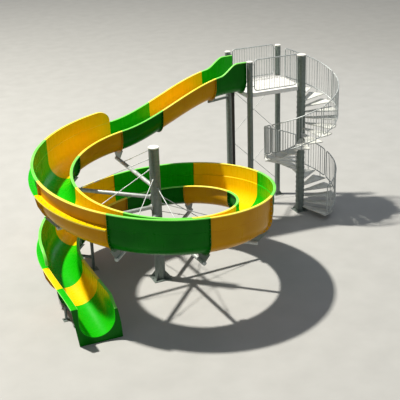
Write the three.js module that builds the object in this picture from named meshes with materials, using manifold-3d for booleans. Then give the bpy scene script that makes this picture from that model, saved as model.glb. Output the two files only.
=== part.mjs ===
// Water slide tower: an open spiral flume hung from one round column, fed by a straight chute
// from a braced platform with a spiral stair. Millimetres, +Z up, origin at the column's foot.
// +X runs from the column to the platform tower, and the flume turns counterclockwise downhill.

import * as THREE from 'three';
import { mergeVertices } from 'three/addons/utils/BufferGeometryUtils.js';
import Module from 'manifold-3d';

// Driving dimensions of the flume
const HALF_WIDTH = 565;          // inner half width of the channel, also the radius of its bottom
const WALL = 15;                 // laminate thickness
const LIP_WIDTH = 95;            // rim turned outwards
const LIP_DEPTH = 30;
const LEDGE_WIDTH = 210;         // wider outer rim, under the wall panels and on the exit
const LEDGE_FLANGE = [[200, -15], [185, -160], [140, -370]]; // its flange: out from the wall, up
const INNER_DEPTH = 885;         // rim down to the lowest point of the channel
const WALL_RAISE = 478;          // extra height of the outer wall in the bends
const PANEL_CORNER = 410;        // rounding where the tall wall starts and ends
const FLANGE_WIDTH = 90;
const FLANGE_REACH = HALF_WIDTH + FLANGE_WIDTH;
const FLANGE_DEPTH = 12;
const JOINT_GAP = 0.3;           // between two faces that touch
const SHELL_SET_BACK = 0.5;
const BOTTOM_ARC_STEPS = 8;

// Ring: a helix round the column
const RING_RADIUS = 3345;
const RING_PITCH = 2556;
const RING_FROM = 93.5;          // degrees, where the straight chute meets the ring
const SECTION_ANGLE = 45;
const RING_SECTIONS = 10;
const RING_RIM = 4601;           // height of the low rim at the ring's start
const PANEL_SECTIONS = 3;        // first bends with a bolted wall panel, the rest moulded tall
const RING_STEPS = 6;

// Straight chute
const ENTRY_X = 4870;
const ENTRY_Y = 3620;
const ENTRY_RIM = 6030;
const ENTRY_RAISE = 350;         // high side walls beside the platform
const ENTRY_WAVE = [3800, 4500]; // the side walls drop between these two X
const CHUTE_JOINTS = [3600, 1400];
const FIRST_JOINT_RIM = 5930;
const FIRST_JOINT_SLOPE = -0.23;
const CHUTE_STEPS = [8, 4, 4];

// Exit chute
const EXIT_X = -3200;
const EXIT_Y = -3100;
const EXIT_JOINT_Y = -1600;
const EXIT_RIM = 1300;
const EXIT_SINK = 215;           // how much deeper the channel is at its end
const EXIT_SINK_FROM = 0.4;      // share of the exit's run
const EXIT_LEAN = 0.28;          // the middle joint leans back against the fall, to each unit of depth
const EXIT_DROP = 270;           // the inner wall's rim comes down to the end plate
const EXIT_DROP_FROM = -2550;    // Y where it starts to come down
const EXIT_STEPS = [4, 8];
const END_PLATE_OUTER = [[-775, 0], [-605, -1300]];             // its outer edge, from the rim down
const END_PLATE_INNER = [[770, -1300], [745, -800], [700, -500], [660, -270]]; // and the inner, up

// Column, arms and stays
const COLUMN_RADIUS = 177.8;
const COLUMN_HEIGHT = 4820;
const CAP_DEPTH = 45;
const CAP_LIP = 8;
const ARM_COUNT = 9;
const ARM_DROP = 1250;           // low rim down to the arm's axis
const ARM_RADIUS = 69.85;
const ARM_OVERRUN = 150;         // past the channel's middle
const CRADLE_DEPTH = 24;
const CRADLE_ARC = 45;           // degrees to either side of the channel's bottom
const CRADLE_FOOT = 170;
const CRADLE_HORN = 70;          // how far its tips stand out past the flanges
const GROUND_POST = { radius: 57.15, reach: 2540, top: 1700, foot: 300 };
const EXIT_LEG = { radius: 44.45, side: 480, foot: 220 };
const STAY_RADIUS = 17;
const STAY_REACH = 2850;
const STAY_RISE = 1390;          // arm's axis up to the stay's top end on the column

// Tower
const POST_RADIUS = 109.55;
const POST_HEIGHT = 6400;
const TOWER = { left: 4997, right: 7194, front: 2951, back: 4861 };
const STAIR_RADIUS = 161.95;
const DECK_TOP = 5170;
const DECK_DEPTH = 30;
const BEAM = { width: 50, depth: 120 };
const RAIL_TOP = 6450;
const RAIL_FOOT = 5230;
const RAIL_TUBE = 42;
const RAIL_CORNER = 130;
const RAIL_SET_IN = 70;          // from a post's face to the panel's end bar
const RAIL_BAR = 16;
const RAIL_BAR_SPACING = 110;
const BRACKET = { radius: 50, drop: 1030, fall: 325 }; // low rim to its top end, and on to the post
const RISER_PIPE = { x: 4600, radius: 62, collar: 105 };
const BRACE_RADIUS = 11;
const BRACE_LEVELS = [650, 2800, 4980];

// Spiral stair
const RISERS = 25;
const FIRST_TREAD_ANGLE = -62;
const TREAD_TURN = 21.74;
const TREAD_SPREAD = 26;
const TREAD_REACH = 1400;
const TREAD_DEPTH = 40;
const TREAD_ROOT = 97;           // radius inside the post where a tread's plate starts
const HANDRAIL_HEIGHT = 1285;    // above the line through the treads' middles
const LOWER_RAIL_HEIGHT = 148;
const FRAME_RADIUS = 21;
const TREAD_BAR_RADIUS = 18;
const FRAME_BEND = { turn: 3, rise: 75 }; // its round corners, in degrees of a rail and mm of a bar
const BEND_LAP = 4;
const BALUSTER_RADIUS = 11;
const HANDRAIL_STEPS = 8;        // to each length
const BALUSTRADE_LENGTHS = 6;
const LENGTH_GAP = 4;            // degrees between two lengths

// Feet
const FOOT_DEPTH = 25;
const COLUMN_FOOT = 640;
const GUSSET = { height: 260, depth: 16, inset: 30 };
const POST_FOOT = 380;
const STAIR_FOOT = 520;

const GREEN = 0x1f9c12;
const YELLOW = 0xf0a800;
const STEEL = 0x9aa5a6;
const DECK_GREY = 0xd5d8d8;
const PIPE_BLACK = 0x1b1c1e;

const ROUND = 24;
const SLIM = 10;
const THIN = 6;

const wasm = await Module();
wasm.setup();

const radians = THREE.MathUtils.degToRad;
const tower = new THREE.Group();

// Joining and cutting

function toSolid(geometry) {
  const plain = geometry.index ? geometry.toNonIndexed() : geometry.clone();
  plain.deleteAttribute('normal');
  plain.deleteAttribute('uv');
  const merged = mergeVertices(plain, 1e-3);
  return new wasm.Manifold(new wasm.Mesh({
    numProp: 3,
    vertProperties: new Float32Array(merged.attributes.position.array),
    triVerts: new Uint32Array(merged.index.array),
  }));
}

function toGeometry(solid) {
  const mesh = solid.getMesh();
  const geometry = new THREE.BufferGeometry();
  geometry.setAttribute('position', new THREE.BufferAttribute(mesh.vertProperties, 3));
  geometry.setIndex(new THREE.BufferAttribute(mesh.triVerts, 1));
  return geometry;
}

function join(...geometries) {
  return toGeometry(geometries.map(toSolid).reduce((all, next) => all.add(next)));
}

function cut(geometry, ...tools) {
  return toGeometry(tools.map(toSolid).reduce((left, tool) => left.subtract(tool), toSolid(geometry)));
}

function addPiece(name, geometry, color, roughness, metalness) {
  const material = new THREE.MeshStandardMaterial({ color, roughness, metalness });
  const mesh = new THREE.Mesh(geometry, material);
  mesh.name = name;
  tower.add(mesh);
}

const addSteel = (name, geometry) => addPiece(name, geometry, STEEL, 0.5, 0.6);
const addFlume = (name, geometry, color) => addPiece(name, geometry, color, 0.25, 0);

// Simple bars and plates

function upright(radius, low, high, x, y, sides = ROUND) {
  const bar = new THREE.CylinderGeometry(radius, radius, high - low, sides);
  return bar.rotateX(Math.PI / 2).translate(x, y, (low + high) / 2);
}

function rod(radius, from, to, sides = SLIM) {
  const line = new THREE.Vector3().subVectors(to, from);
  const bar = new THREE.CylinderGeometry(radius, radius, line.length(), sides);
  const turn = new THREE.Quaternion().setFromUnitVectors(
    new THREE.Vector3(0, 1, 0), line.clone().normalize());
  const middle = from.clone().addScaledVector(line, 0.5);
  return bar.applyQuaternion(turn).translate(middle.x, middle.y, middle.z);
}

function block(x0, x1, y0, y1, z0, z1) {
  const box = new THREE.BoxGeometry(x1 - x0, y1 - y0, z1 - z0);
  return box.translate((x0 + x1) / 2, (y0 + y1) / 2, (z0 + z1) / 2);
}

function footPlate(size, x, y) {
  return block(x - size / 2, x + size / 2, y - size / 2, y + size / 2, 0, FOOT_DEPTH);
}

const polar = (radius, angle, z) => new THREE.Vector3(
  radius * Math.cos(radians(angle)), radius * Math.sin(radians(angle)), z);

// The flume's centre line: each station has a plan place, a heading and the low rim's height

function hermite(u, a, b, slopeA, slopeB) {
  const u2 = u * u;
  const u3 = u2 * u;
  return (2 * u3 - 3 * u2 + 1) * a + (u3 - 2 * u2 + u) * slopeA
    + (3 * u2 - 2 * u3) * b + (u3 - u2) * slopeB;
}

const smooth = (value, low, high) => THREE.MathUtils.smoothstep(value, low, high);

function ringRim(angle) {
  return RING_RIM - RING_PITCH * (angle - RING_FROM) / 360;
}

function ringStation(angle) {
  const place = polar(RING_RADIUS, angle, ringRim(angle));
  return { place, heading: radians(angle + 90), inner: 0, outer: WALL_RAISE, sink: 0 };
}

const ringStart = polar(RING_RADIUS, RING_FROM, RING_RIM);
const RING_SLOPE = -RING_PITCH / (2 * Math.PI * RING_RADIUS);
const ringEndAngle = RING_FROM + RING_SECTIONS * SECTION_ANGLE;
const ringEnd = polar(RING_RADIUS, ringEndAngle, ringRim(ringEndAngle));

function chuteStation(x) {
  const run = ENTRY_X - ringStart.x;
  const plan = (at) => hermite((ENTRY_X - at) / run, ENTRY_Y, ringStart.y,
    0, -run * Math.tan(radians(RING_FROM - 90)));
  const slope = plan(x - 1) - plan(x);
  const first = CHUTE_JOINTS[0];
  const upperRun = ENTRY_X - first;
  const lowerRun = first - ringStart.x;
  const rim = x > first
    ? hermite((ENTRY_X - x) / upperRun, ENTRY_RIM, FIRST_JOINT_RIM, 0, upperRun * FIRST_JOINT_SLOPE)
    : hermite((first - x) / lowerRun, FIRST_JOINT_RIM, RING_RIM,
      lowerRun * FIRST_JOINT_SLOPE, lowerRun * RING_SLOPE);
  const raise = ENTRY_RAISE * smooth(x, ...ENTRY_WAVE);
  const place = new THREE.Vector3(x, plan(x), rim);
  return { place, heading: Math.atan2(slope, -1), inner: raise, outer: raise, sink: 0 };
}

function exitStation(y) {
  const run = ringEnd.y - EXIT_Y;
  const plan = (at) => hermite((ringEnd.y - at) / run, ringEnd.x, EXIT_X,
    run * Math.tan(radians(RING_FROM - 90)), 0);
  const slope = plan(y - 1) - plan(y);
  const u = (ringEnd.y - y) / run;
  const rim = hermite(u, ringEnd.z, EXIT_RIM, run * RING_SLOPE, 0);
  const place = new THREE.Vector3(plan(y), y, rim);
  const sink = EXIT_SINK * smooth(u, EXIT_SINK_FROM, 1);
  const inner = EXIT_DROP * (smooth(y, EXIT_Y, EXIT_DROP_FROM) - 1);
  const lean = EXIT_LEAN * (y > EXIT_JOINT_Y
    ? 1 - smooth(y, EXIT_JOINT_Y, ringEnd.y)
    : smooth(y, EXIT_Y, EXIT_JOINT_Y));
  return { place, heading: Math.atan2(-1, slope), inner, outer: 0, sink, lean };
}

// Cross sections: x is to the right of the heading (outwards in the bends), y is up from the low rim

const BOTTOM_CENTRE = HALF_WIDTH - INNER_DEPTH;

function bottomArc(radius, from, to) {
  const points = [];
  for (let i = 0; i <= BOTTOM_ARC_STEPS; i += 1) {
    const angle = radians(from + (to - from) * i / BOTTOM_ARC_STEPS);
    points.push(new THREE.Vector2(radius * Math.cos(angle), BOTTOM_CENTRE + radius * Math.sin(angle)));
  }
  return points;
}

function channelShape(outerLip = LIP_WIDTH) {
  const outside = HALF_WIDTH + WALL;
  const edge = HALF_WIDTH + LIP_WIDTH;
  return new THREE.Shape([
    new THREE.Vector2(-HALF_WIDTH, 0),
    ...bottomArc(HALF_WIDTH, 180, 360),
    new THREE.Vector2(HALF_WIDTH, 0),
    new THREE.Vector2(HALF_WIDTH + outerLip, 0),
    new THREE.Vector2(HALF_WIDTH + outerLip, -LIP_DEPTH),
    new THREE.Vector2(outside, -LIP_DEPTH),
    ...bottomArc(outside, 360, 180),
    new THREE.Vector2(-outside, -LIP_DEPTH),
    new THREE.Vector2(-edge, -LIP_DEPTH),
    new THREE.Vector2(-edge, 0),
  ]);
}

// A channel whose tall outer wall rises from the inner edge of its ledge
function ledgedWallShape() {
  const outside = HALF_WIDTH + WALL;
  const edge = HALF_WIDTH + LIP_WIDTH;
  return new THREE.Shape([
    new THREE.Vector2(-HALF_WIDTH, 0),
    ...bottomArc(HALF_WIDTH, 180, 360),
    new THREE.Vector2(HALF_WIDTH, WALL_RAISE),
    new THREE.Vector2(edge, WALL_RAISE),
    new THREE.Vector2(edge, WALL_RAISE - LIP_DEPTH),
    new THREE.Vector2(outside, WALL_RAISE - LIP_DEPTH),
    new THREE.Vector2(outside, 0),
    new THREE.Vector2(HALF_WIDTH + LEDGE_WIDTH, 0),
    new THREE.Vector2(HALF_WIDTH + LEDGE_WIDTH, -LIP_DEPTH),
    new THREE.Vector2(outside, -LIP_DEPTH),
    ...bottomArc(outside, 360, 180),
    new THREE.Vector2(-outside, -LIP_DEPTH),
    new THREE.Vector2(-edge, -LIP_DEPTH),
    new THREE.Vector2(-edge, 0),
  ]);
}

function flangeShape(ledged) {
  const inside = HALF_WIDTH + WALL / 2;
  const edge = FLANGE_REACH;
  const underLedge = LEDGE_FLANGE.map(([out, up]) => new THREE.Vector2(HALF_WIDTH + out, up));
  const arc = bottomArc(edge, 360, 180);
  const outer = ledged ? [...underLedge, ...arc.slice(1)] : [new THREE.Vector2(edge, -LIP_DEPTH / 2), ...arc];
  return new THREE.Shape([
    new THREE.Vector2(-inside, -LIP_DEPTH / 2),
    ...bottomArc(inside, 180, 360),
    new THREE.Vector2(inside, -LIP_DEPTH / 2),
    ...outer,
    new THREE.Vector2(-edge, -LIP_DEPTH / 2),
  ]);
}

function panelShape() {
  const outside = HALF_WIDTH + WALL;
  const edge = HALF_WIDTH + LIP_WIDTH;
  const footEdge = HALF_WIDTH + LEDGE_WIDTH;
  return new THREE.Shape([
    new THREE.Vector2(HALF_WIDTH, JOINT_GAP - WALL_RAISE),
    new THREE.Vector2(footEdge, JOINT_GAP - WALL_RAISE),
    new THREE.Vector2(footEdge, WALL - WALL_RAISE),
    new THREE.Vector2(outside, WALL - WALL_RAISE),
    new THREE.Vector2(outside, -LIP_DEPTH),
    new THREE.Vector2(edge, -LIP_DEPTH),
    new THREE.Vector2(edge, 0),
    new THREE.Vector2(HALF_WIDTH, 0),
  ]);
}

function panelFlangeShape() {
  const inside = HALF_WIDTH + WALL / 2;
  const edge = HALF_WIDTH + FLANGE_WIDTH;
  return new THREE.Shape([
    new THREE.Vector2(inside, WALL / 2 - WALL_RAISE),
    new THREE.Vector2(edge, WALL / 2 - WALL_RAISE),
    new THREE.Vector2(edge, -LIP_DEPTH / 2),
    new THREE.Vector2(inside, -LIP_DEPTH / 2),
  ]);
}

// The whole outside of the channel, filled in, for what is cut to fit under it
function seatShape(outside) {
  return new THREE.Shape([
    new THREE.Vector2(-outside, -LIP_DEPTH),
    ...bottomArc(outside, 180, 360),
    new THREE.Vector2(outside, -LIP_DEPTH),
  ]);
}

// Sweeps a cross section along stations, upright or leaning, and lets shiftUp move its points
function sweep(shape, steps, stationAt, shiftUp) {
  const geometry = new THREE.ExtrudeGeometry(shape, { depth: steps, steps, bevelEnabled: false });
  const points = geometry.attributes.position;
  const stations = Array.from({ length: steps + 1 }, (_, i) => stationAt(i / steps));
  for (let i = 0; i < points.count; i += 1) {
    const across = points.getX(i);
    const up = points.getY(i);
    const station = stations[Math.round(points.getZ(i))];
    const height = up + shiftUp(station, across, up);
    const ahead = (station.lean ?? 0) * height;
    points.setXYZ(i,
      station.place.x + across * Math.sin(station.heading) + ahead * Math.cos(station.heading),
      station.place.y - across * Math.cos(station.heading) + ahead * Math.sin(station.heading),
      station.place.z + height);
  }
  if (insideOut(geometry)) turnFaces(geometry);
  return geometry;
}

function insideOut(geometry) {
  const points = geometry.attributes.position;
  const [a, b, c] = [0, 1, 2].map(() => new THREE.Vector3());
  let volume = 0;
  for (let i = 0; i < points.count; i += 3) {
    a.fromBufferAttribute(points, i);
    b.fromBufferAttribute(points, i + 1);
    c.fromBufferAttribute(points, i + 2);
    volume += a.dot(b.cross(c));
  }
  return volume < 0;
}

function turnFaces(geometry) {
  const points = geometry.attributes.position;
  const [b, c] = [new THREE.Vector3(), new THREE.Vector3()];
  for (let i = 0; i < points.count; i += 3) {
    b.fromBufferAttribute(points, i + 1);
    c.fromBufferAttribute(points, i + 2);
    points.setXYZ(i + 1, c.x, c.y, c.z);
    points.setXYZ(i + 2, b.x, b.y, b.z);
  }
}

function channelShift(station, across, up) {
  if (up >= -LIP_DEPTH) return across < 0 ? station.inner : station.outer;
  return up <= BOTTOM_CENTRE ? -station.sink : 0;
}

// The panel's shape hangs from its top rim, so only its lower edge stays on the low rim
function panelShift(station, across, up) {
  return up >= -LIP_DEPTH ? station.outer : WALL_RAISE;
}

// A section runs between two joints, with a bolting flange round each of its ends
function flumeSection(stationAt, steps) {
  const body = sweep(channelShape(), steps, setBack(stationAt, stationAt.length_mm), channelShift);
  return join(body, ...flangeEnds(flangeShape(false), stationAt, channelShift, stationAt.length_mm));
}

// A section with a ledge has its outer rim as low as the inner one
function ledgedSection(stationAt, steps) {
  const at = (u) => ({ ...stationAt(u), outer: 0 });
  const body = sweep(channelShape(LEDGE_WIDTH), steps, setBack(at, stationAt.length_mm), channelShift);
  return join(body, ...flangeEnds(flangeShape(true), at, channelShift, stationAt.length_mm));
}

// A shell ends a little behind the faces of its flanges
function setBack(at, length) {
  const inset = SHELL_SET_BACK / length;
  return (u) => at(inset + u * (1 - 2 * inset));
}

function flangeEnds(shape, at, shift, length) {
  const depth = FLANGE_DEPTH / length;
  return [0, 1 - depth].map((from) => sweep(shape, 1, (u) => at(from + u * depth), shift));
}

// Stations between two joints, with half a joint's gap left at each end
function between(stationFor, from, to, length) {
  const trim = JOINT_GAP / 2 / length;
  const stationAt = (u) => stationFor(from + (to - from) * (trim + u * (1 - 2 * trim)));
  stationAt.length_mm = length;
  return stationAt;
}

const sectionColor = (number) => (number % 2 === 1 ? GREEN : YELLOW);
const sectionName = (number) => `flume_section_${String(number).padStart(2, '0')}`;

function addChute() {
  const joints = [ENTRY_X, ...CHUTE_JOINTS, ringStart.x];
  for (let i = 0; i < joints.length - 1; i += 1) {
    const span = joints[i] - joints[i + 1];
    const stations = between(chuteStation, joints[i], joints[i + 1], span);
    addFlume(sectionName(i + 1), flumeSection(stations, CHUTE_STEPS[i]), sectionColor(i + 1));
  }
}

const arcLength = RING_RADIUS * radians(SECTION_ANGLE);
const ringStations = (index) => between(ringStation,
  RING_FROM + SECTION_ANGLE * index, RING_FROM + SECTION_ANGLE * (index + 1), arcLength);

function addRing() {
  for (let i = 0; i < RING_SECTIONS; i += 1) {
    const build = i < PANEL_SECTIONS ? ledgedSection : flumeSection;
    const stations = ringStations(i);
    const section = i === RING_SECTIONS - 1 ? lastBend(stations) : build(stations, RING_STEPS);
    const number = CHUTE_JOINTS.length + 2 + i;
    addFlume(sectionName(number), section, sectionColor(number));
  }
}

// The last bend's tall wall stands on a ledge and ends in a rounded corner
function lastBend(stations) {
  const body = sweep(ledgedWallShape(), RING_STEPS, setBack(stations, arcLength), () => 0);
  const low = (u) => ({ ...stations(u), outer: 0 });
  const ends = flangeEnds(flangeShape(true), low, channelShift, arcLength);
  const wallEnd = flangeEnds(panelFlangeShape(), stations, panelShift, arcLength)[0];
  return cut(join(body, ...ends, wallEnd), cornerTool(ringStation(ringEndAngle), -1));
}

// Rounds a tall wall's upper corner: ahead is 1 where the wall starts and -1 where it ends
function cornerTool(station, ahead) {
  const top = WALL_RAISE + WALL;
  const start = -WALL * ahead;
  const reach = PANEL_CORNER * ahead;
  const shape = new THREE.Shape();
  shape.moveTo(start, top - PANEL_CORNER).lineTo(start, top + WALL).lineTo(reach, top + WALL)
    .lineTo(reach, WALL_RAISE)
    .absarc(reach, WALL_RAISE - PANEL_CORNER, PANEL_CORNER, Math.PI / 2, ahead > 0 ? Math.PI : 0, ahead < 0);
  const depth = LIP_WIDTH * 3;
  const tool = new THREE.ExtrudeGeometry(shape, { depth, bevelEnabled: false, curveSegments: 6 });
  return tool.rotateX(Math.PI / 2).translate(0, LIP_WIDTH - HALF_WIDTH, 0)
    .rotateZ(station.heading).translate(station.place.x, station.place.y, station.place.z);
}

// A panel's shell is swept uphill, so that its twisted foot is split into triangles like the ledge
function addWallPanels() {
  for (let i = 0; i < PANEL_SECTIONS; i += 1) {
    const stations = ringStations(i);
    const downhill = setBack(stations, arcLength);
    const body = sweep(panelShape(), RING_STEPS, (u) => downhill(1 - u), panelShift);
    const ends = flangeEnds(panelFlangeShape(), stations, panelShift, arcLength);
    const number = CHUTE_JOINTS.length + 2 + i;
    const panel = i === 0
      ? cut(join(body, ends[1]), cornerTool(ringStation(RING_FROM), 1))
      : join(body, ...ends);
    addFlume(`wall_panel_${String(number).padStart(2, '0')}`, panel, sectionColor(number));
  }
}

// The end plate closes the space round the channel's end and stands on the ground
function endPlate() {
  const end = exitStation(EXIT_Y);
  const edges = [...END_PLATE_OUTER, ...END_PLATE_INNER];
  const shape = new THREE.Shape([
    ...edges.map(([x, z]) => new THREE.Vector2(x, z)),
    new THREE.Vector2(HALF_WIDTH + WALL / 2, -EXIT_DROP),
    ...bottomArc(HALF_WIDTH + WALL / 2, 360, 180).map((p) => new THREE.Vector2(p.x, p.y - EXIT_SINK)),
    new THREE.Vector2(-HALF_WIDTH - WALL / 2, 0),
  ]);
  const plate = new THREE.ExtrudeGeometry(shape, { depth: WALL, bevelEnabled: false });
  return plate.rotateX(Math.PI / 2).translate(end.place.x, EXIT_Y + WALL, end.place.z);
}

function addExit() {
  const joints = [ringEnd.y, EXIT_JOINT_Y, EXIT_Y];
  for (let i = 0; i < joints.length - 1; i += 1) {
    const span = joints[i] - joints[i + 1];
    const stations = between(exitStation, joints[i], joints[i + 1], span);
    const number = CHUTE_JOINTS.length + 2 + RING_SECTIONS + i;
    const section = ledgedSection(stations, EXIT_STEPS[i]);
    const whole = i === joints.length - 2 ? join(section, endPlate()) : section;
    addFlume(sectionName(number), whole, sectionColor(number));
  }
}

// Column with its foot plate, gussets and domed cap
function addColumn() {
  const length = COLUMN_FOOT - 2 * GUSSET.inset;
  const fins = [45, 135].map((turn) => new THREE.BoxGeometry(length, GUSSET.depth, GUSSET.height)
    .translate(0, 0, FOOT_DEPTH + GUSSET.height / 2).rotateZ(radians(turn)));
  addSteel('central_column', join(
    upright(COLUMN_RADIUS, 0, COLUMN_HEIGHT - CAP_DEPTH, 0, 0),
    upright(COLUMN_RADIUS + CAP_LIP, COLUMN_HEIGHT - CAP_DEPTH, COLUMN_HEIGHT, 0, 0),
    footPlate(COLUMN_FOOT, 0, 0), ...fins));
}

const columnCope = () => upright(COLUMN_RADIUS + JOINT_GAP, 0, COLUMN_HEIGHT + STAY_RISE, 0, 0);

// A cradle is a plate in the joint's plane, under the pair of flanges that rests in it
function cradlePlate(station, footDrop) {
  const tip = FLANGE_REACH * Math.sin(radians(CRADLE_ARC));
  const shape = new THREE.Shape([
    new THREE.Vector2(tip, BOTTOM_CENTRE - tip),
    new THREE.Vector2(tip + CRADLE_HORN, BOTTOM_CENTRE - tip),
    new THREE.Vector2(CRADLE_FOOT, -footDrop),
    new THREE.Vector2(-CRADLE_FOOT, -footDrop),
    new THREE.Vector2(-tip - CRADLE_HORN, BOTTOM_CENTRE - tip),
  ]);
  const plate = new THREE.ExtrudeGeometry(shape, { depth: CRADLE_DEPTH, bevelEnabled: false });
  return plate.rotateX(Math.PI / 2).translate(0, CRADLE_DEPTH / 2, 0)
    .rotateZ(station.heading - Math.PI / 2)
    .translate(station.place.x, station.place.y, station.place.z - station.sink);
}

// Hollows a support to the flanges it carries. stationNear gives the station that lies some
// millimetres past the joint, so the hollow keeps the flume's slope.
function seatFlanges(support, stationNear, run) {
  const seat = seatShape(FLANGE_REACH + JOINT_GAP * 2);
  return cut(support, sweep(seat, 4, (u) => stationNear((u - 0.5) * run), channelShift));
}

const ringNear = (angle) => (offset) => ringStation(angle + THREE.MathUtils.radToDeg(offset / RING_RADIUS));

function armAxis(index) {
  const angle = RING_FROM + SECTION_ANGLE * index;
  return { angle, height: ringRim(angle) - ARM_DROP };
}

function armTube(index, extra = 0) {
  const { angle, height } = armAxis(index);
  return rod(ARM_RADIUS + extra, polar(COLUMN_RADIUS / 2, angle, height),
    polar(RING_RADIUS + ARM_OVERRUN, angle, height), ROUND / 2);
}

function addArms() {
  for (let i = 0; i < ARM_COUNT; i += 1) {
    const { angle } = armAxis(i);
    const arm = join(armTube(i), cradlePlate(ringStation(angle), ARM_DROP - ARM_RADIUS / 2));
    const seated = seatFlanges(arm, ringNear(angle), CRADLE_DEPTH * 2);
    addSteel(`support_arm_${i + 1}`, cut(seated, columnCope()));
  }
}

function addStays() {
  for (let i = 0; i < ARM_COUNT; i += 1) {
    const { angle, height } = armAxis(i);
    const bar = rod(STAY_RADIUS, polar(COLUMN_RADIUS / 2, angle, height + STAY_RISE),
      polar(STAY_REACH, angle, height));
    addSteel(`stay_rod_${i + 1}`, cut(bar, columnCope(), armTube(i, JOINT_GAP)));
  }
}

// The lowest ring joint stands on a post of its own beside the inner wall
function addGroundPost() {
  const { radius, reach, top, foot } = GROUND_POST;
  const { angle, height } = armAxis(ARM_COUNT);
  const post = polar(reach, angle, 0);
  const arm = rod(radius, polar(reach, angle, height), polar(RING_RADIUS + CRADLE_FOOT, angle, height));
  const support = join(upright(radius, 0, top, post.x, post.y, ROUND / 2), arm,
    cradlePlate(ringStation(angle), ARM_DROP - radius / 2), footPlate(foot, post.x, post.y));
  addSteel('ground_post', seatFlanges(support, ringNear(angle), CRADLE_DEPTH * 2));
}

// The exit's middle joint rests in a low cradle on two legs, under the foot of its leaning flanges
function addExitSupport() {
  const joint = exitStation(EXIT_JOINT_Y);
  const back = joint.lean * (INNER_DEPTH + joint.sink);
  const place = joint.place.clone();
  place.x -= back * Math.cos(joint.heading);
  place.y -= back * Math.sin(joint.heading);
  const seatDrop = place.z - joint.sink;
  const legTop = seatDrop + BOTTOM_CENTRE - FLANGE_REACH * Math.cos(radians(CRADLE_ARC));
  const legs = [-1, 1].flatMap((side) => {
    const x = place.x + side * EXIT_LEG.side;
    return [upright(EXIT_LEG.radius, 0, legTop, x, place.y, ROUND / 2),
      footPlate(EXIT_LEG.foot, x, place.y)];
  });
  const support = join(cradlePlate({ ...joint, place }, seatDrop - FOOT_DEPTH / 2), ...legs);
  addSteel('exit_support',
    seatFlanges(support, (offset) => exitStation(EXIT_JOINT_Y - offset), EXIT_LEG.radius * 3));
}

// Tower posts with foot plates and caps
function post(radius, foot, x, y) {
  return join(upright(radius, 0, POST_HEIGHT - CAP_DEPTH, x, y),
    upright(radius + CAP_LIP, POST_HEIGHT - CAP_DEPTH, POST_HEIGHT, x, y), footPlate(foot, x, y));
}

function addPosts() {
  addSteel('tower_post_back_left', post(POST_RADIUS, POST_FOOT, TOWER.left, TOWER.back));
  addSteel('tower_post_front_left', post(POST_RADIUS, POST_FOOT, TOWER.left, TOWER.front));
  addSteel('tower_post_back_right', post(POST_RADIUS, POST_FOOT, TOWER.right, TOWER.back));
}

const postCopes = () => [
  upright(POST_RADIUS + JOINT_GAP, 0, POST_HEIGHT, TOWER.left, TOWER.back),
  upright(POST_RADIUS + JOINT_GAP, 0, POST_HEIGHT, TOWER.left, TOWER.front),
  upright(POST_RADIUS + JOINT_GAP, 0, POST_HEIGHT, TOWER.right, TOWER.back),
  upright(STAIR_RADIUS + JOINT_GAP, 0, POST_HEIGHT, TOWER.right, TOWER.front),
];

// Deck plate on a ring of edge beams, notched round the posts
function addPlatform() {
  const left = ENTRY_X + JOINT_GAP;
  const right = TOWER.right + BEAM.width / 2;
  const front = TOWER.front - BEAM.width / 2;
  const back = TOWER.back + BEAM.width / 2;
  const under = DECK_TOP - DECK_DEPTH;
  const low = under - BEAM.depth;
  const middle = (TOWER.left + TOWER.right) / 2;
  const deck = join(
    block(left, right, front, back, under, DECK_TOP),
    block(left, left + BEAM.width, front, back, low, under),
    block(right - BEAM.width, right, front, back, low, under),
    block(middle, middle + BEAM.width, front, back, low, under),
    block(left, right, front, front + BEAM.width, low, under),
    block(left, right, back - BEAM.width, back, low, under));
  addPiece('platform', cut(deck, ...postCopes()), DECK_GREY, 0.6, 0.3);
}

// A railing panel: a frame with round corners, bars between, and four stubs to the posts
function railPanel(from, to, y, faceFrom, faceTo) {
  const frame = roundedFrame(from, to);
  const geometry = new THREE.ExtrudeGeometry(frame, {
    depth: RAIL_TUBE, bevelEnabled: false, curveSegments: 4 });
  geometry.rotateX(Math.PI / 2).translate(0, y + RAIL_TUBE / 2, 0);
  const count = Math.round((to - from) / RAIL_BAR_SPACING);
  const bars = Array.from({ length: count - 1 }, (_, i) => {
    const x = from + (to - from) * (i + 1) / count;
    return block(x - RAIL_BAR / 2, x + RAIL_BAR / 2, y - RAIL_BAR / 2, y + RAIL_BAR / 2,
      RAIL_FOOT + RAIL_TUBE / 2, RAIL_TOP - RAIL_TUBE / 2);
  });
  const stubHeights = [RAIL_FOOT + RAIL_CORNER * 1.5, RAIL_TOP - RAIL_CORNER * 1.5];
  const stubs = stubHeights.flatMap((z) => [
    rod(RAIL_BAR, new THREE.Vector3(faceFrom, y, z), new THREE.Vector3(from + RAIL_TUBE / 2, y, z), THIN),
    rod(RAIL_BAR, new THREE.Vector3(to - RAIL_TUBE / 2, y, z), new THREE.Vector3(faceTo, y, z), THIN),
  ]);
  return cut(join(geometry, ...bars, ...stubs), ...postCopes());
}

function roundedFrame(from, to) {
  const outline = (inset, target) => {
    const [x0, x1] = [from + inset, to - inset];
    const [z0, z1] = [RAIL_FOOT + inset, RAIL_TOP - inset];
    const r = RAIL_CORNER - inset;
    target.moveTo(x0 + r, z0).lineTo(x1 - r, z0).absarc(x1 - r, z0 + r, r, -Math.PI / 2, 0);
    target.lineTo(x1, z1 - r).absarc(x1 - r, z1 - r, r, 0, Math.PI / 2);
    target.lineTo(x0 + r, z1).absarc(x0 + r, z1 - r, r, Math.PI / 2, Math.PI);
    target.lineTo(x0, z0 + r).absarc(x0 + r, z0 + r, r, Math.PI, Math.PI * 1.5);
    return target;
  };
  const frame = outline(0, new THREE.Shape());
  frame.holes.push(outline(RAIL_TUBE, new THREE.Path()));
  return frame;
}

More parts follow.
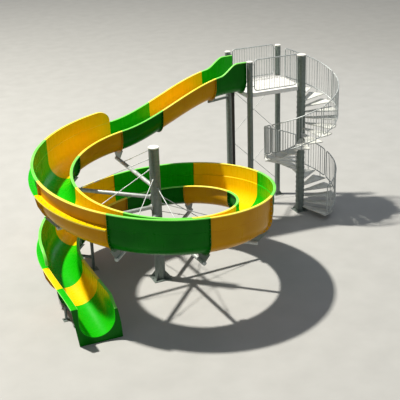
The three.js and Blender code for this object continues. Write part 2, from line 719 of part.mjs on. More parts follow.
function addRailings() {
  const from = TOWER.left + POST_RADIUS + RAIL_SET_IN;
  const frontTo = TOWER.right - STAIR_RADIUS - RAIL_SET_IN / 2;
  const backTo = TOWER.right - POST_RADIUS - RAIL_SET_IN;
  addSteel('railing_front', railPanel(from, frontTo, TOWER.front, TOWER.left, TOWER.right));
  addSteel('railing_back', railPanel(from, backTo, TOWER.back, TOWER.left, TOWER.right));
}

// Crossed rods in the tower's back side, a pair to each level, the second rod behind the first
function addBraces() {
  for (let i = 0; i < BRACE_LEVELS.length - 1; i += 1) {
    const [low, high] = [BRACE_LEVELS[i] + BRACE_RADIUS * (2 * i + 1), BRACE_LEVELS[i + 1]];
    [[low, high], [high, low]].forEach(([left, right], k) => {
      const y = TOWER.back + (2 * k - 1) * (BRACE_RADIUS + JOINT_GAP / 2);
      const bar = rod(BRACE_RADIUS, new THREE.Vector3(TOWER.left, y, left),
        new THREE.Vector3(TOWER.right, y, right), THIN);
      addSteel(`cross_brace_${2 * i + k + 1}`, cut(bar, ...postCopes()));
    });
  }
}

// A strut from the back left post carries the first joint of the straight chute
function addEntryBracket() {
  const { radius, drop, fall } = BRACKET;
  const station = chuteStation(CHUTE_JOINTS[0]);
  const top = station.place.clone().setZ(station.place.z - drop);
  const foot = new THREE.Vector3(TOWER.left, TOWER.back, top.z - fall);
  const past = top.clone().sub(foot).setLength(radius);
  const bracket = join(rod(radius, foot, top.clone().add(past)), cradlePlate(station, drop - radius / 2));
  const seated = seatFlanges(bracket, (offset) => chuteStation(CHUTE_JOINTS[0] - offset), CRADLE_DEPTH * 6);
  addSteel('entry_bracket', cut(seated, ...postCopes()));
}

// Black pipe that feeds water into the top of the chute from below, cut to the chute's underside
function addRiser() {
  const { x, radius, collar } = RISER_PIPE;
  const span = ENTRY_X - CHUTE_JOINTS[0];
  const stations = between(chuteStation, ENTRY_X, CHUTE_JOINTS[0], span);
  const seat = seatShape(HALF_WIDTH + WALL + JOINT_GAP * 2);
  const underside = sweep(seat, CHUTE_STEPS[0], stations, channelShift);
  const station = chuteStation(x);
  const pipe = join(upright(radius, 0, station.place.z - HALF_WIDTH, x, station.place.y, ROUND / 2),
    upright(collar, 0, FOOT_DEPTH, x, station.place.y, ROUND / 2));
  addPiece('riser_pipe', cut(pipe, underside), PIPE_BLACK, 0.5, 0);
}

// Spiral stair: treads welded to the fourth post of the tower
const riser = DECK_TOP / RISERS;
const treadAngle = (number) => FIRST_TREAD_ANGLE + TREAD_TURN * (number - 1);

function tread(number) {
  const half = TREAD_SPREAD / 2;
  const shape = new THREE.Shape();
  shape.moveTo(TREAD_ROOT * Math.cos(radians(-half)), TREAD_ROOT * Math.sin(radians(-half)));
  shape.absarc(0, 0, TREAD_REACH, radians(-half), radians(half), false);
  shape.lineTo(TREAD_ROOT * Math.cos(radians(half)), TREAD_ROOT * Math.sin(radians(half)));
  const plate = new THREE.ExtrudeGeometry(shape, {
    depth: TREAD_DEPTH, bevelEnabled: false, curveSegments: 3 });
  return plate.rotateZ(radians(treadAngle(number)))
    .translate(TOWER.right, TOWER.front, riser * number - TREAD_DEPTH);
}

function addStair() {
  const treads = Array.from({ length: RISERS - 1 }, (_, i) => tread(i + 1));
  addSteel('spiral_stair', join(post(STAIR_RADIUS, STAIR_FOOT, TOWER.right, TOWER.front), ...treads));
}

// A point just outside the treads' edge, a height above the line through their middles
function railPoint(angle, lift) {
  const line = riser * (1 + (angle - FIRST_TREAD_ANGLE) / TREAD_TURN);
  const point = polar(TREAD_REACH + TREAD_BAR_RADIUS + JOINT_GAP, angle, line + lift);
  return point.add(new THREE.Vector3(TOWER.right, TOWER.front, 0));
}

// A round bar bent through a row of points
function bentBar(points) {
  const steps = points.length - 1;
  const path = new THREE.Curve();
  path.getUtoTmapping = (u) => u;
  path.getPoint = (t, target = new THREE.Vector3()) => {
    const i = Math.min(Math.floor(t * steps), steps - 1);
    return target.lerpVectors(points[i], points[i + 1], t * steps - i);
  };
  path.getTangent = (t, target = new THREE.Vector3()) => {
    const i = Math.round(t * steps);
    const into = points[i].clone().sub(points[Math.max(i - 1, 0)]).normalize();
    const out = points[Math.min(i + 1, steps)].clone().sub(points[i]).normalize();
    return target.addVectors(into, out).normalize();
  };
  const ring = new THREE.Shape().absarc(0, 0, FRAME_RADIUS, 0, Math.PI * 2);
  return new THREE.ExtrudeGeometry(ring, {
    steps, curveSegments: 3, bevelEnabled: false, extrudePath: path });
}

// Points round a corner, from an end bar into a rail: side +1 at a length's start, rise +1 at its foot
function frameCorner(angle, lift, side, rise) {
  const corner = railPoint(angle, lift);
  const onBar = corner.clone().setZ(corner.z + rise * FRAME_BEND.rise);
  return new THREE.QuadraticBezierCurve3(onBar, corner, railPoint(angle + side * FRAME_BEND.turn, lift))
    .getPoints(2);
}

// A rail with the half of each end bar that is bent from it
function halfFrame(from, to, lift, rise) {
  const [start, end] = [from + FRAME_BEND.turn, to - FRAME_BEND.turn];
  const rail = Array.from({ length: HANDRAIL_STEPS - 1 }, (_, k) => railPoint(
    THREE.MathUtils.lerp(start, end, (k + 1) / HANDRAIL_STEPS), lift));
  const middle = (HANDRAIL_HEIGHT + LOWER_RAIL_HEIGHT) / 2 + rise * BEND_LAP;
  return bentBar([railPoint(from, middle), ...frameCorner(from, lift, 1, rise), ...rail,
    ...frameCorner(to, lift, -1, rise).reverse(), railPoint(to, middle)]);
}

function frameBar(radius, angle, low, high) {
  const { x, y } = railPoint(angle, 0);
  return upright(radius, low, high, x, y, THIN);
}

function baluster(angle) {
  return frameBar(BALUSTER_RADIUS, angle, railPoint(angle, LOWER_RAIL_HEIGHT).z,
    railPoint(angle, HANDRAIL_HEIGHT).z);
}

// A bar of the frame that runs on down the middle of a tread's edge
function treadBar(number) {
  const angle = treadAngle(number);
  return frameBar(TREAD_BAR_RADIUS, angle, riser * number - TREAD_DEPTH,
    railPoint(angle, HANDRAIL_HEIGHT).z);
}

// The balustrade stands in lengths of a few treads, each held by a bar down every tread's edge
function addBalustrade() {
  const treads = (RISERS - 1) / BALUSTRADE_LENGTHS;
  for (let i = 0; i < BALUSTRADE_LENGTHS; i += 1) {
    const first = treads * i + 1;
    const from = treadAngle(first - 0.5) + LENGTH_GAP / 2;
    const to = treadAngle(first + treads - 0.5) - LENGTH_GAP / 2;
    const held = Array.from({ length: treads }, (_, k) => treadBar(first + k));
    const between = Array.from({ length: treads - 1 }, (_, k) => baluster(treadAngle(first + k + 0.5)));
    addSteel(`stair_balustrade_${i + 1}`, join(halfFrame(from, to, HANDRAIL_HEIGHT, -1),
      halfFrame(from, to, LOWER_RAIL_HEIGHT, 1), ...held, ...between));
  }
}

addChute();
addRing();
addWallPanels();
addExit();
addColumn();
addArms();
addStays();
addGroundPost();
addExitSupport();
addPosts();
addPlatform();
addRailings();
addBraces();
addEntryBracket();
addRiser();
addStair();
addBalustrade();

export default tower;
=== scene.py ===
"""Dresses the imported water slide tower: flume, column, tower, stair, floor, lights and camera.

Lengths are in metres and angles in degrees, unless a name or a docstring says otherwise.
"""

from __future__ import annotations

import logging
import math
from collections.abc import Callable, Iterable, Sequence
from dataclasses import dataclass, field, replace
from enum import Enum

import bpy
from mathutils import Matrix, Vector


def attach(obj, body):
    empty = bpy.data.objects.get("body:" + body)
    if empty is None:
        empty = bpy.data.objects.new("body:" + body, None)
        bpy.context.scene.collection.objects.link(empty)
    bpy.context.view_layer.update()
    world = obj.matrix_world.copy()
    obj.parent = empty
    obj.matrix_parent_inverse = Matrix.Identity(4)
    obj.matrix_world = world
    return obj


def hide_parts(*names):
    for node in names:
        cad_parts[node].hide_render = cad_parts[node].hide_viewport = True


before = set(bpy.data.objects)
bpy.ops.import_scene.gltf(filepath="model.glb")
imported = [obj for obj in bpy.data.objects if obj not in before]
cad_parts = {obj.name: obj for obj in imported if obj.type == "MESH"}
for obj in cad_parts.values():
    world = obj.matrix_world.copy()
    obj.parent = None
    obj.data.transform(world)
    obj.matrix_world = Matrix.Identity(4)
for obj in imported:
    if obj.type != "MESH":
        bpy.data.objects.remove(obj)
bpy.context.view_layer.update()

log = logging.getLogger("water_slide")
UP = Vector((0.0, 0.0, 1.0))
# Gap between pieces that meet, so that none cuts into another
CLEARANCE = 0.0003
# Step over which a slope is taken
SHORT = 0.001


class Slot(Enum):
    """The record's material slots."""

    GREEN = "frp_green"
    YELLOW = "frp_yellow"
    STEEL = "galvanised_steel"
    DECK = "deck"
    PIPE = "pipe"


# Nodes and colours


def linear(hex_colour: str) -> tuple[float, float, float, float]:
    """Turns an sRGB hex colour to Blender's linear values.

    Args:
        hex_colour: Six hex digits, with or without a leading hash.

    Returns:
        Red, green, blue and an alpha of 1.
    """
    digits = hex_colour.lstrip("#")
    levels = [int(digits[i:i + 2], 16) / 255 for i in (0, 2, 4)]
    red, green, blue = [c / 12.92 if c <= 0.04045 else ((c + 0.055) / 1.055) ** 2.4 for c in levels]
    return red, green, blue, 1.0


def add_node(
    tree: bpy.types.NodeTree,
    kind: str,
    values: dict[str | int, object] | None = None,
    links: dict[str | int, bpy.types.NodeSocket] | None = None,
) -> bpy.types.Node:
    """Adds one node with its settings and links.

    Args:
        tree: The material's node tree.
        kind: The node's type name.
        values: Input sockets by name or number, or the node's own settings by name.
        links: Input sockets by name or number, each with the output that feeds it.

    Returns:
        The new node.
    """
    node = tree.nodes.new(kind)
    for key, value in (values or {}).items():
        if isinstance(key, int) or key in node.inputs:
            node.inputs[key].default_value = value
        else:
            setattr(node, key, value)
    for key, socket in (links or {}).items():
        tree.links.new(socket, node.inputs[key])
    return node


# A noise's middle, where most of it lies
MIDDLE = {"From Min": 0.3, "From Max": 0.7}


class Surface:
    """A material in the making: a Principled shader, and patterns of real size that feed it."""

    def __init__(self, name: str, settings: dict[str, float]) -> None:
        """Makes a material with a bare shader.

        Args:
            name: The material's name.
            settings: Values of the shader's own sockets.
        """
        self.material = bpy.data.materials.new(name)
        self.material.use_nodes = True
        self.tree = self.material.node_tree
        self.tree.nodes.clear()
        self.shader = add_node(self.tree, "ShaderNodeBsdfPrincipled", settings)
        add_node(self.tree, "ShaderNodeOutputMaterial", links={"Surface": self.shader.outputs["BSDF"]})

    def feed(self, name: str, socket: bpy.types.NodeSocket) -> None:
        """Links a pattern to one of the shader's sockets."""
        self.tree.links.new(socket, self.shader.inputs[name])

    def place(self, settings: dict[str, Sequence[float]]) -> bpy.types.NodeSocket:
        """Finds the place on the piece, from its Object coordinates.

        Args:
            settings: How the coordinates are stretched or turned.

        Returns:
            The place.
        """
        spot = add_node(self.tree, "ShaderNodeTexCoord")
        mapping = add_node(self.tree, "ShaderNodeMapping", settings, {"Vector": spot.outputs["Object"]})
        return mapping.outputs["Vector"]

    def noise(
        self, grain_mm: float, stretch: Sequence[float] = (1.0, 1.0, 1.0), detail: float = 3.0
    ) -> bpy.types.NodeSocket:
        """Lays a noise on the piece, whose grain has a real size.

        Args:
            grain_mm: Size of one patch of the noise.
            stretch: How much finer the grain is along X, Y and Z.
            detail: Octaves of the noise.

        Returns:
            The noise's factor, from 0 to 1.
        """
        settings = {"Scale": 1000 / grain_mm, "Detail": detail}
        links = {"Vector": self.place({"Scale": stretch})}
        return add_node(self.tree, "ShaderNodeTexNoise", settings, links).outputs["Fac"]

    def patches(
        self,
        grain_mm: float,
        stretch: Sequence[float] = (1.0, 1.0, 1.0),
        detail: float = 3.0,
        low: float = 0.0,
        high: float = 1.0,
    ) -> bpy.types.NodeSocket:
        """Spreads the middle of such a noise over two values, so that it stands in patches.

        Args:
            grain_mm: Size of one patch of the noise.
            stretch: How much finer the grain is along X, Y and Z.
            detail: Octaves of the noise.
            low: Value where the noise is low.
            high: Value where the noise is high.

        Returns:
            The value.
        """
        settings = {**MIDDLE, "To Min": low, "To Max": high}
        links = {"Value": self.noise(grain_mm, stretch, detail)}
        return add_node(self.tree, "ShaderNodeMapRange", settings, links).outputs["Result"]

    def colour(self, share: bpy.types.NodeSocket, first: str, second: str) -> None:
        """Colours the surface from one hex colour to another.

        Args:
            share: 0 for the first colour, 1 for the second.
            first: Hex colour.
            second: Hex colour.
        """
        settings = {"data_type": "RGBA", 6: linear(first), 7: linear(second)}
        self.feed("Base Color", add_node(self.tree, "ShaderNodeMix", settings, {0: share}).outputs[2])

    def relief(self, height: bpy.types.NodeSocket, depth_mm: float, strength: float) -> None:
        """Gives the surface a fine relief.

        Args:
            height: The height pattern.
            depth_mm: Real depth of the pattern.
            strength: From 0 to 1.
        """
        settings = {"Strength": strength, "Distance": depth_mm / 1000}
        relief = add_node(self.tree, "ShaderNodeBump", settings, {"Height": height})
        self.feed("Normal", relief.outputs["Normal"])


# Finishes


@dataclass(frozen=True)
class GelCoat:
    """Polyester gel coat over glass-fibre laminate: smooth and glossy where it lay on the mould."""

    name: str
    colour: str
    faded: str
    low_roughness: float = 0.25
    high_roughness: float = 0.31
    specular: float = 0.22
    index: float = 1.52

    def build(self) -> bpy.types.Material:
        """Makes the material: slow colour fading, dull water marks that run down, faint laminate waves.

        Returns:
            The material.
        """
        surface = Surface(self.name, {"IOR": self.index, "Specular IOR Level": self.specular})
        # Fading in patches as long as an arm, water marks as wide as a hand
        surface.colour(surface.patches(700), self.colour, self.faded)
        marks = surface.patches(90, (1.0, 1.0, 0.12), 4.0, self.low_roughness, self.high_roughness)
        surface.feed("Roughness", marks)
        # Fibre print-through is under a millimetre: drawn 90 mm wide, because finer doesn't show
        surface.relief(surface.noise(90), 0.4, 0.1)
        return surface.material


@dataclass(frozen=True)
class GalvanisedSteel:
    """Hot-dip galvanised steel: dull zinc with crystal spangle and pale runs."""

    name: str
    dark: str
    light: str
    metallic: float = 0.45
    spangle_mm: float = 45.0
    spangle_share: float = 0.35
    low_roughness: float = 0.42
    high_roughness: float = 0.6

    def build(self) -> bpy.types.Material:
        """Makes the material. Real spangle is about 12 mm: drawn coarser, so that it shows.

        Returns:
            The material.
        """
        surface = Surface(self.name, {"Metallic": self.metallic})
        tree = surface.tree
        spangle = add_node(
            tree, "ShaderNodeTexVoronoi", {"Scale": 1000 / self.spangle_mm}, {"Vector": surface.place({})}
        )
        cell = add_node(tree, "ShaderNodeSeparateColor", links={"Color": spangle.outputs["Color"]})
        runs = surface.patches(140, (1.0, 1.0, 0.1), 4.0)
        settings = {"data_type": "FLOAT", 0: self.spangle_share}
        blend = add_node(tree, "ShaderNodeMix", settings, {2: runs, 3: cell.outputs["Red"]})
        surface.colour(blend.outputs[0], self.dark, self.light)
        settings = {**MIDDLE, "To Min": self.low_roughness, "To Max": self.high_roughness}
        dull = add_node(tree, "ShaderNodeMapRange", settings, {"Value": runs})
        surface.feed("Roughness", dull.outputs["Result"])
        surface.relief(surface.noise(8, detail=2.0), 0.3, 0.15)
        return surface.material


@dataclass(frozen=True)
class PressedPlate:
    """Pale coated steel plate with raised anti-slip bars in two directions."""

    name: str
    light: str
    dirt: str
    bar_mm: float = 70.0
    roughness: float = 0.55
    metallic: float = 0.1

    def build(self) -> bpy.types.Material:
        """Makes the material. Real bars are 30 mm apart: drawn wider, so that they show.

        Returns:
            The material.
        """
        surface = Surface(self.name, {"Roughness": self.roughness, "Metallic": self.metallic})
        # At a scale of 1 the wave has about three bars in a metre
        settings = {"Scale": 1000 / self.bar_mm / 3.0, "Distortion": 0.0}
        bars = []
        for turn in (math.radians(45), math.radians(-45)):
            links = {"Vector": surface.place({"Rotation": (0.0, 0.0, turn)})}
            bars.append(add_node(surface.tree, "ShaderNodeTexWave", settings, links).outputs["Fac"])
        grid = add_node(surface.tree, "ShaderNodeMath", {"operation": "MAXIMUM"}, dict(enumerate(bars)))
        surface.colour(surface.patches(260, detail=6.0), self.light, self.dirt)
        surface.relief(grid.outputs[0], 3.0, 0.35)
        return surface.material


@dataclass(frozen=True)
class PlainCoat:
    """Powder coat or moulded plastic in one tone: satin, slightly mottled."""

    name: str
    colour: str
    shade: str
    roughness: float = 0.45
    metallic: float = 0.0

    def build(self) -> bpy.types.Material:
        """Makes the material: a faint mottle of dust and a fine orange-peel relief.

        Returns:
            The material.
        """
        surface = Surface(self.name, {"Roughness": self.roughness, "Metallic": self.metallic})
        surface.colour(surface.patches(180, detail=5.0), self.colour, self.shade)
        surface.relief(surface.noise(12, detail=2.0), 0.2, 0.1)
        return surface.material


class Finishes:
    """Every finish on the slide, built once."""

    def __init__(self) -> None:
        """Builds the materials."""
        self.green = GelCoat("green_gel_coat", "#12a807", "#19b40a").build()
        # The back is darker than the inside: painted shade on the outer walls
        self.green_back_shaded = GelCoat("green_gel_coat_back_painted_shade", "#035d07", "#066b08", 0.25, 0.4, 0.09).build()
        # The lip is paler than the inside: a painted highlight on the rounded rim
        self.green_lip_highlight = GelCoat("green_gel_coat_lip_painted_highlight", "#68d648", "#8ce56c", 0.3, 0.45).build()
        self.yellow = GelCoat("yellow_gel_coat", "#efbf04", "#f2c806").build()
        # The back is darker than the inside: painted shade on the outer walls
        self.yellow_back_shaded = GelCoat("yellow_gel_coat_back_painted_shade", "#bd8604", "#ca9506", 0.25, 0.4, 0.09).build()
        # The lip is paler than the inside: a painted highlight on the rounded rim
        self.yellow_lip_highlight = GelCoat("yellow_gel_coat_lip_painted_highlight", "#f7e034", "#f9ea68", 0.3, 0.45).build()
        # Tube steel is drawn dark and greenish: painted shade with a painted reflection of the green flume
        self.steel = GalvanisedSteel("galvanised_tube_painted_shade", "#5f6a64", "#88928d").build()
        # Arm steel is a lighter copy of the tube steel: painted sunlight on the arms
        self.arm = GalvanisedSteel("galvanised_arm_tube_painted_sunlight", "#9fa6a3", "#c4cac6", 0.3).build()
        self.bright = GalvanisedSteel("galvanised_rail", "#a9afaf", "#cbd0cf", 0.35, 30.0).build()
        self.rod = GalvanisedSteel("galvanised_rod", "#b9bfbe", "#dcdfde", 0.3, 30.0).build()
        self.zinc = PlainCoat("zinc_plated_bolt", "#a9adad", "#7d8282", 0.35, 0.8).build()
        self.cap = PlainCoat("white_plastic_cap", "#f4f4ee", "#e4e4dc").build()
        self.deck = PressedPlate("anti_slip_deck_plate", "#eeedea", "#dbdad6").build()
        self.tread = PressedPlate("anti_slip_tread_plate", "#ebebe5", "#cdcfc8").build()
        self.fascia = PlainCoat("white_beam_paint", "#fafaf8", "#e9eae8").build()
        self.pipe = PlainCoat("black_polyethylene_pipe", "#1a1b1c", "#2b2c2d", 0.4).build()


# The maker's bench: Blender's own tools


class Bench:
    """Blender's tools, each used with nothing else selected."""

    @staticmethod
    def pick(*pieces: bpy.types.Object) -> None:
        """Selects these pieces alone and makes the first one active.

        Args:
            pieces: The pieces, or none where nothing may be selected.
        """
        bpy.ops.object.select_all(action="DESELECT")
        for piece in pieces:
            piece.select_set(True)
        if pieces:
            bpy.context.view_layer.objects.active = pieces[0]

    @staticmethod
    def edit(piece: bpy.types.Object, tool: Callable[..., set[str]], **settings: object) -> None:
        """Uses an edit-mode tool on a whole mesh.

        Args:
            piece: The piece.
            tool: One of bpy.ops.mesh.
            settings: The tool's settings.
        """
        Bench.pick(piece)
        bpy.ops.object.mode_set(mode="EDIT")
        bpy.ops.mesh.select_all(action="SELECT")
        tool(**settings)
        bpy.ops.object.mode_set(mode="OBJECT")

    @staticmethod
    def face_out(piece: bpy.types.Object) -> None:
        """Recalculates a closed piece's normals outwards."""
        Bench.edit(piece, bpy.ops.mesh.normals_make_consistent, inside=False)

    @staticmethod
    def settle(piece: bpy.types.Object) -> None:
        """Puts a piece's place into its mesh."""
        Bench.pick(piece)
        bpy.ops.object.transform_apply(location=True, rotation=True, scale=True)

    @staticmethod
    def dress(piece: bpy.types.Object, *materials: bpy.types.Material) -> bpy.types.Object:
        """Gives a bare piece its materials.

        Args:
            piece: The piece.
            materials: The materials, in the order of its faces' numbers.

        Returns:
            The piece.
        """
        for material in materials:
            piece.data.materials.append(material)
        return piece

    @staticmethod
    def ease_edges(piece: bpy.types.Object, width: float, segments: int = 2) -> None:
        """Bevels a piece's sharp edges with a modifier that is applied.

        Args:
            piece: A closed mesh.
            width: Width of the bevel in metres.
            segments: Facets across it.
        """
        Bench.pick(piece)
        bevel = piece.modifiers.new("eased", "BEVEL")
        bevel.width = width
        bevel.segments = segments
        bevel.limit_method = "ANGLE"
        bevel.angle_limit = math.radians(40)
        bpy.ops.object.modifier_apply(modifier=bevel.name)

    @staticmethod
    def bar(
        start: Vector, end: Vector, radius: float, sides: int = 16, eased: float = 0.0
    ) -> bpy.types.Object:
        """Makes a round bar or closed tube from one point to another.

        Args:
            start: Centre of one end.
            end: Centre of the other end.
            radius: Radius in metres.
            sides: Facets round it.
            eased: Bevel at its ends, or 0.

        Returns:
            The bar.
        """
        line = end - start
        Bench.pick()
        bpy.ops.mesh.primitive_cylinder_add(
            vertices=sides,
            radius=radius,
            depth=line.length,
            location=(start + end) / 2,
            rotation=line.to_track_quat("Z", "Y").to_euler(),
        )
        piece = bpy.context.object
        Bench.settle(piece)
        if eased:
            Bench.ease_edges(piece, eased)
        return piece

    @staticmethod
    def box(
        centre: Vector, size: Sequence[float], turn: float = 0.0, eased: float = 0.003
    ) -> bpy.types.Object:
        """Makes a plate or beam with eased edges.

        Args:
            centre: Its middle.
            size: Its lengths along X, Y and Z.
            turn: Angle about Z in radians.
            eased: Width of the bevel.

        Returns:
            The plate.
        """
        Bench.pick()
        bpy.ops.mesh.primitive_cube_add(size=1, location=centre, rotation=(0, 0, turn), scale=size)
        piece = bpy.context.object
        Bench.settle(piece)
        Bench.ease_edges(piece, eased, 1)
        return piece

    @staticmethod
    def fin(foot: Vector, direction: Vector, reach: float, height: float, depth: float) -> bpy.types.Object:
        """Makes a triangular gusset: full height at its foot's inner end, low at its outer end.

        Args:
            foot: Lower inner corner.
            direction: Level unit vector outwards.
            reach: Length along the ground.
            height: Height at the inner end.
            depth: Thickness of the plate.

        Returns:
            The gusset.
        """
        side, toe = direction.cross(UP) * depth / 2, height * 0.12
        Bench.pick()
        bpy.ops.mesh.primitive_cube_add(size=2)
        piece = bpy.context.object
        for vertex in piece.data.vertices:
            out, across, high = vertex.co.x > 0, vertex.co.y, vertex.co.z > 0
            rise = (toe if out else height) if high else 0.0
            vertex.co = foot + direction * (reach if out else 0.0) + side * across + UP * rise
        Bench.face_out(piece)
        return piece

    @staticmethod
    def sheet(
        rows: Sequence[Sequence[Vector]],
        thickness: float,
        front: Vector,
        materials: Sequence[bpy.types.Material] = (),
        bands: Callable[[int], int] | None = None,
        back_offset: int = 0,
    ) -> bpy.types.Object:
        """Lays a grid on rows of points and gives it a thickness behind its front.

        Args:
            rows: Rows of equally many points.
            thickness: Thickness in metres, away from the front.
            front: Rough direction that the middle of the front looks in.
            materials: Its materials, where it doesn't get them later.
            bands: Material number of the strip between points i and i + 1 of every row.
            back_offset: Added to the material number on the back.

        Returns:
            The closed sheet.
        """
        along, strips = len(rows) - 1, len(rows[0]) - 1
        Bench.pick()
        bpy.ops.mesh.primitive_grid_add(x_subdivisions=strips, y_subdivisions=along, size=2)
        piece = bpy.context.object
        for vertex in piece.data.vertices:
            i = round((vertex.co.x + 1) / 2 * strips)
            j = round((vertex.co.y + 1) / 2 * along)
            vertex.co = rows[j][i]
        Bench.dress(piece, *materials)
        faces = piece.data.polygons
        if bands:
            for face in faces:
                face.material_index = bands(face.index % strips)
        # The grid's faces run across first
        middle = faces[along // 2 * strips + strips // 2]
        if middle.normal.dot(front) < 0:
            Bench.edit(piece, bpy.ops.mesh.flip_normals)
        Bench.pick(piece)
        wall = piece.modifiers.new("wall", "SOLIDIFY")
        wall.thickness = thickness
        wall.offset = -1
        wall.use_even_offset = True
        wall.material_offset = back_offset
        bpy.ops.object.modifier_apply(modifier=wall.name)
        return piece

    @staticmethod
    def hoop(points: Sequence[Vector], radius: float) -> bpy.types.Object:
        """Bends a round tube along points and back to its start.

        Args:
            points: The tube's centre line.
            radius: Radius in metres.

        Returns:
            The tube as a closed mesh.
        """
        line = bpy.data.curves.new("tube", "CURVE")
        line.dimensions = "3D"
        line.bevel_depth = radius
        line.bevel_resolution = 3
        spline = line.splines.new("POLY")
        spline.points.add(len(points) - 1)
        for target, point in zip(spline.points, points):
            target.co = (*point, 1.0)
        spline.use_cyclic_u = True
        piece = bpy.data.objects.new("tube", line)
        bpy.context.collection.objects.link(piece)
        Bench.pick(piece)
        bpy.ops.object.convert(target="MESH")
        piece = bpy.context.object
        Bench.edit(piece, bpy.ops.mesh.remove_doubles, threshold=1e-5)
        Bench.face_out(piece)
        return piece

    @staticmethod
    def copies(master: bpy.types.Object, places: Iterable[Matrix]) -> bpy.types.Object:
        """Copies a piece to many places, each with its own mesh, and joins them.

        Args:
            master: The piece, modelled at the origin. It is used up.
            places: Where each copy goes.

        Returns:
            The joined copies.
        """
        made = []
        for place in places:
            twin = bpy.data.objects.new(master.name, master.data.copy())
            twin.data.transform(place)
            bpy.context.collection.objects.link(twin)
            made.append(twin)
        bpy.data.objects.remove(master)
        return Bench.join(made)

    @staticmethod
    def join(pieces: Sequence[bpy.types.Object]) -> bpy.types.Object:
        """Joins pieces into the first one.

        Args:
            pieces: The pieces.

        Returns:
            The first piece, with all of them in its mesh.
        """
        Bench.pick(*pieces)
        if len(pieces) > 1:
            bpy.ops.object.join()
        return pieces[0]

    @staticmethod
    def fit(
        parts: Sequence[bpy.types.Object],
        name: str,
        slot: Slot,
        stands_for: Sequence[str] = (),
        finish: bpy.types.Material | None = None,
        smooth: float = 40.0,
    ) -> None:
        """Joins parts to a finished piece, and names, dresses, smooths and mounts it.

        Args:
            parts: The finished parts.
            name: The piece's name.
            slot: The record's slot; not used.
            stands_for: CAD nodes that it replaces.
            finish: Its material, where the parts have none yet.
            smooth: Edges under this angle in degrees are shaded smooth.
        """
        piece = Bench.join(parts)
        piece.name = name
        piece.data.name = name
        if finish:
            Bench.dress(piece, finish)
        Bench.pick(piece)
        bpy.ops.object.shade_smooth_by_angle(angle=math.radians(smooth))
        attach(piece, "root")
        if stands_for:
            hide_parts(*stands_for)
        log.info("%s: %d faces", name, len(piece.data.polygons))


# The flume


def smoothstep(value: float, low: float, high: float) -> float:
    """Returns 0 below low, 1 above high, and a smooth step between."""
    u = min(max((value - low) / (high - low), 0.0), 1.0)
    return u * u * (3 - 2 * u)


def hermite(u: float, start: float, end: float, slope_start: float, slope_end: float) -> float:
    """Joins two values by the cubic that has a slope at each.

    Args:
        u: Share of the way, from 0 to 1.
        start: Value at the start.
        end: Value at the end.
        slope_start: Slope at the start, over the whole way.
        slope_end: Slope at the end, over the whole way.

    Returns:
        The cubic's value.
    """
    u2, u3 = u * u, u * u * u
    values = (2 * u3 - 3 * u2 + 1) * start + (3 * u2 - 2 * u3) * end
    return values + (u3 - 2 * u2 + u) * slope_start + (u3 - u2) * slope_end


def polar(radius: float, degrees: float, z: float) -> Vector:
    """Returns a point at a radius and angle round the column."""
    turn = math.radians(degrees)
    return Vector((radius * math.cos(turn), radius * math.sin(turn), z))


@dataclass(frozen=True)
class Station:
    """A place on the flume's centre line, at the height of its low rim."""

    place: Vector
    # In radians
    heading: float
    # How far the left and right walls rise over the low rim
    left: float = 0.0
    right: float = 0.0
    # How much deeper the channel is here
    sink: float = 0.0
    # How far the cross section leans ahead for each metre up
    lean: float = 0.0

    def at(self, across: float, up: float) -> Vector:
        """Returns the point that lies across to the right of the heading and up from the low rim."""
        level = Vector((math.sin(self.heading), -math.cos(self.heading), 0.0))
        return self.place + level * across + self.ahead() * (self.lean * up) + UP * up

    def ahead(self) -> Vector:
        """Returns the level unit vector along the heading."""
        return Vector((math.cos(self.heading), math.sin(self.heading), 0.0))


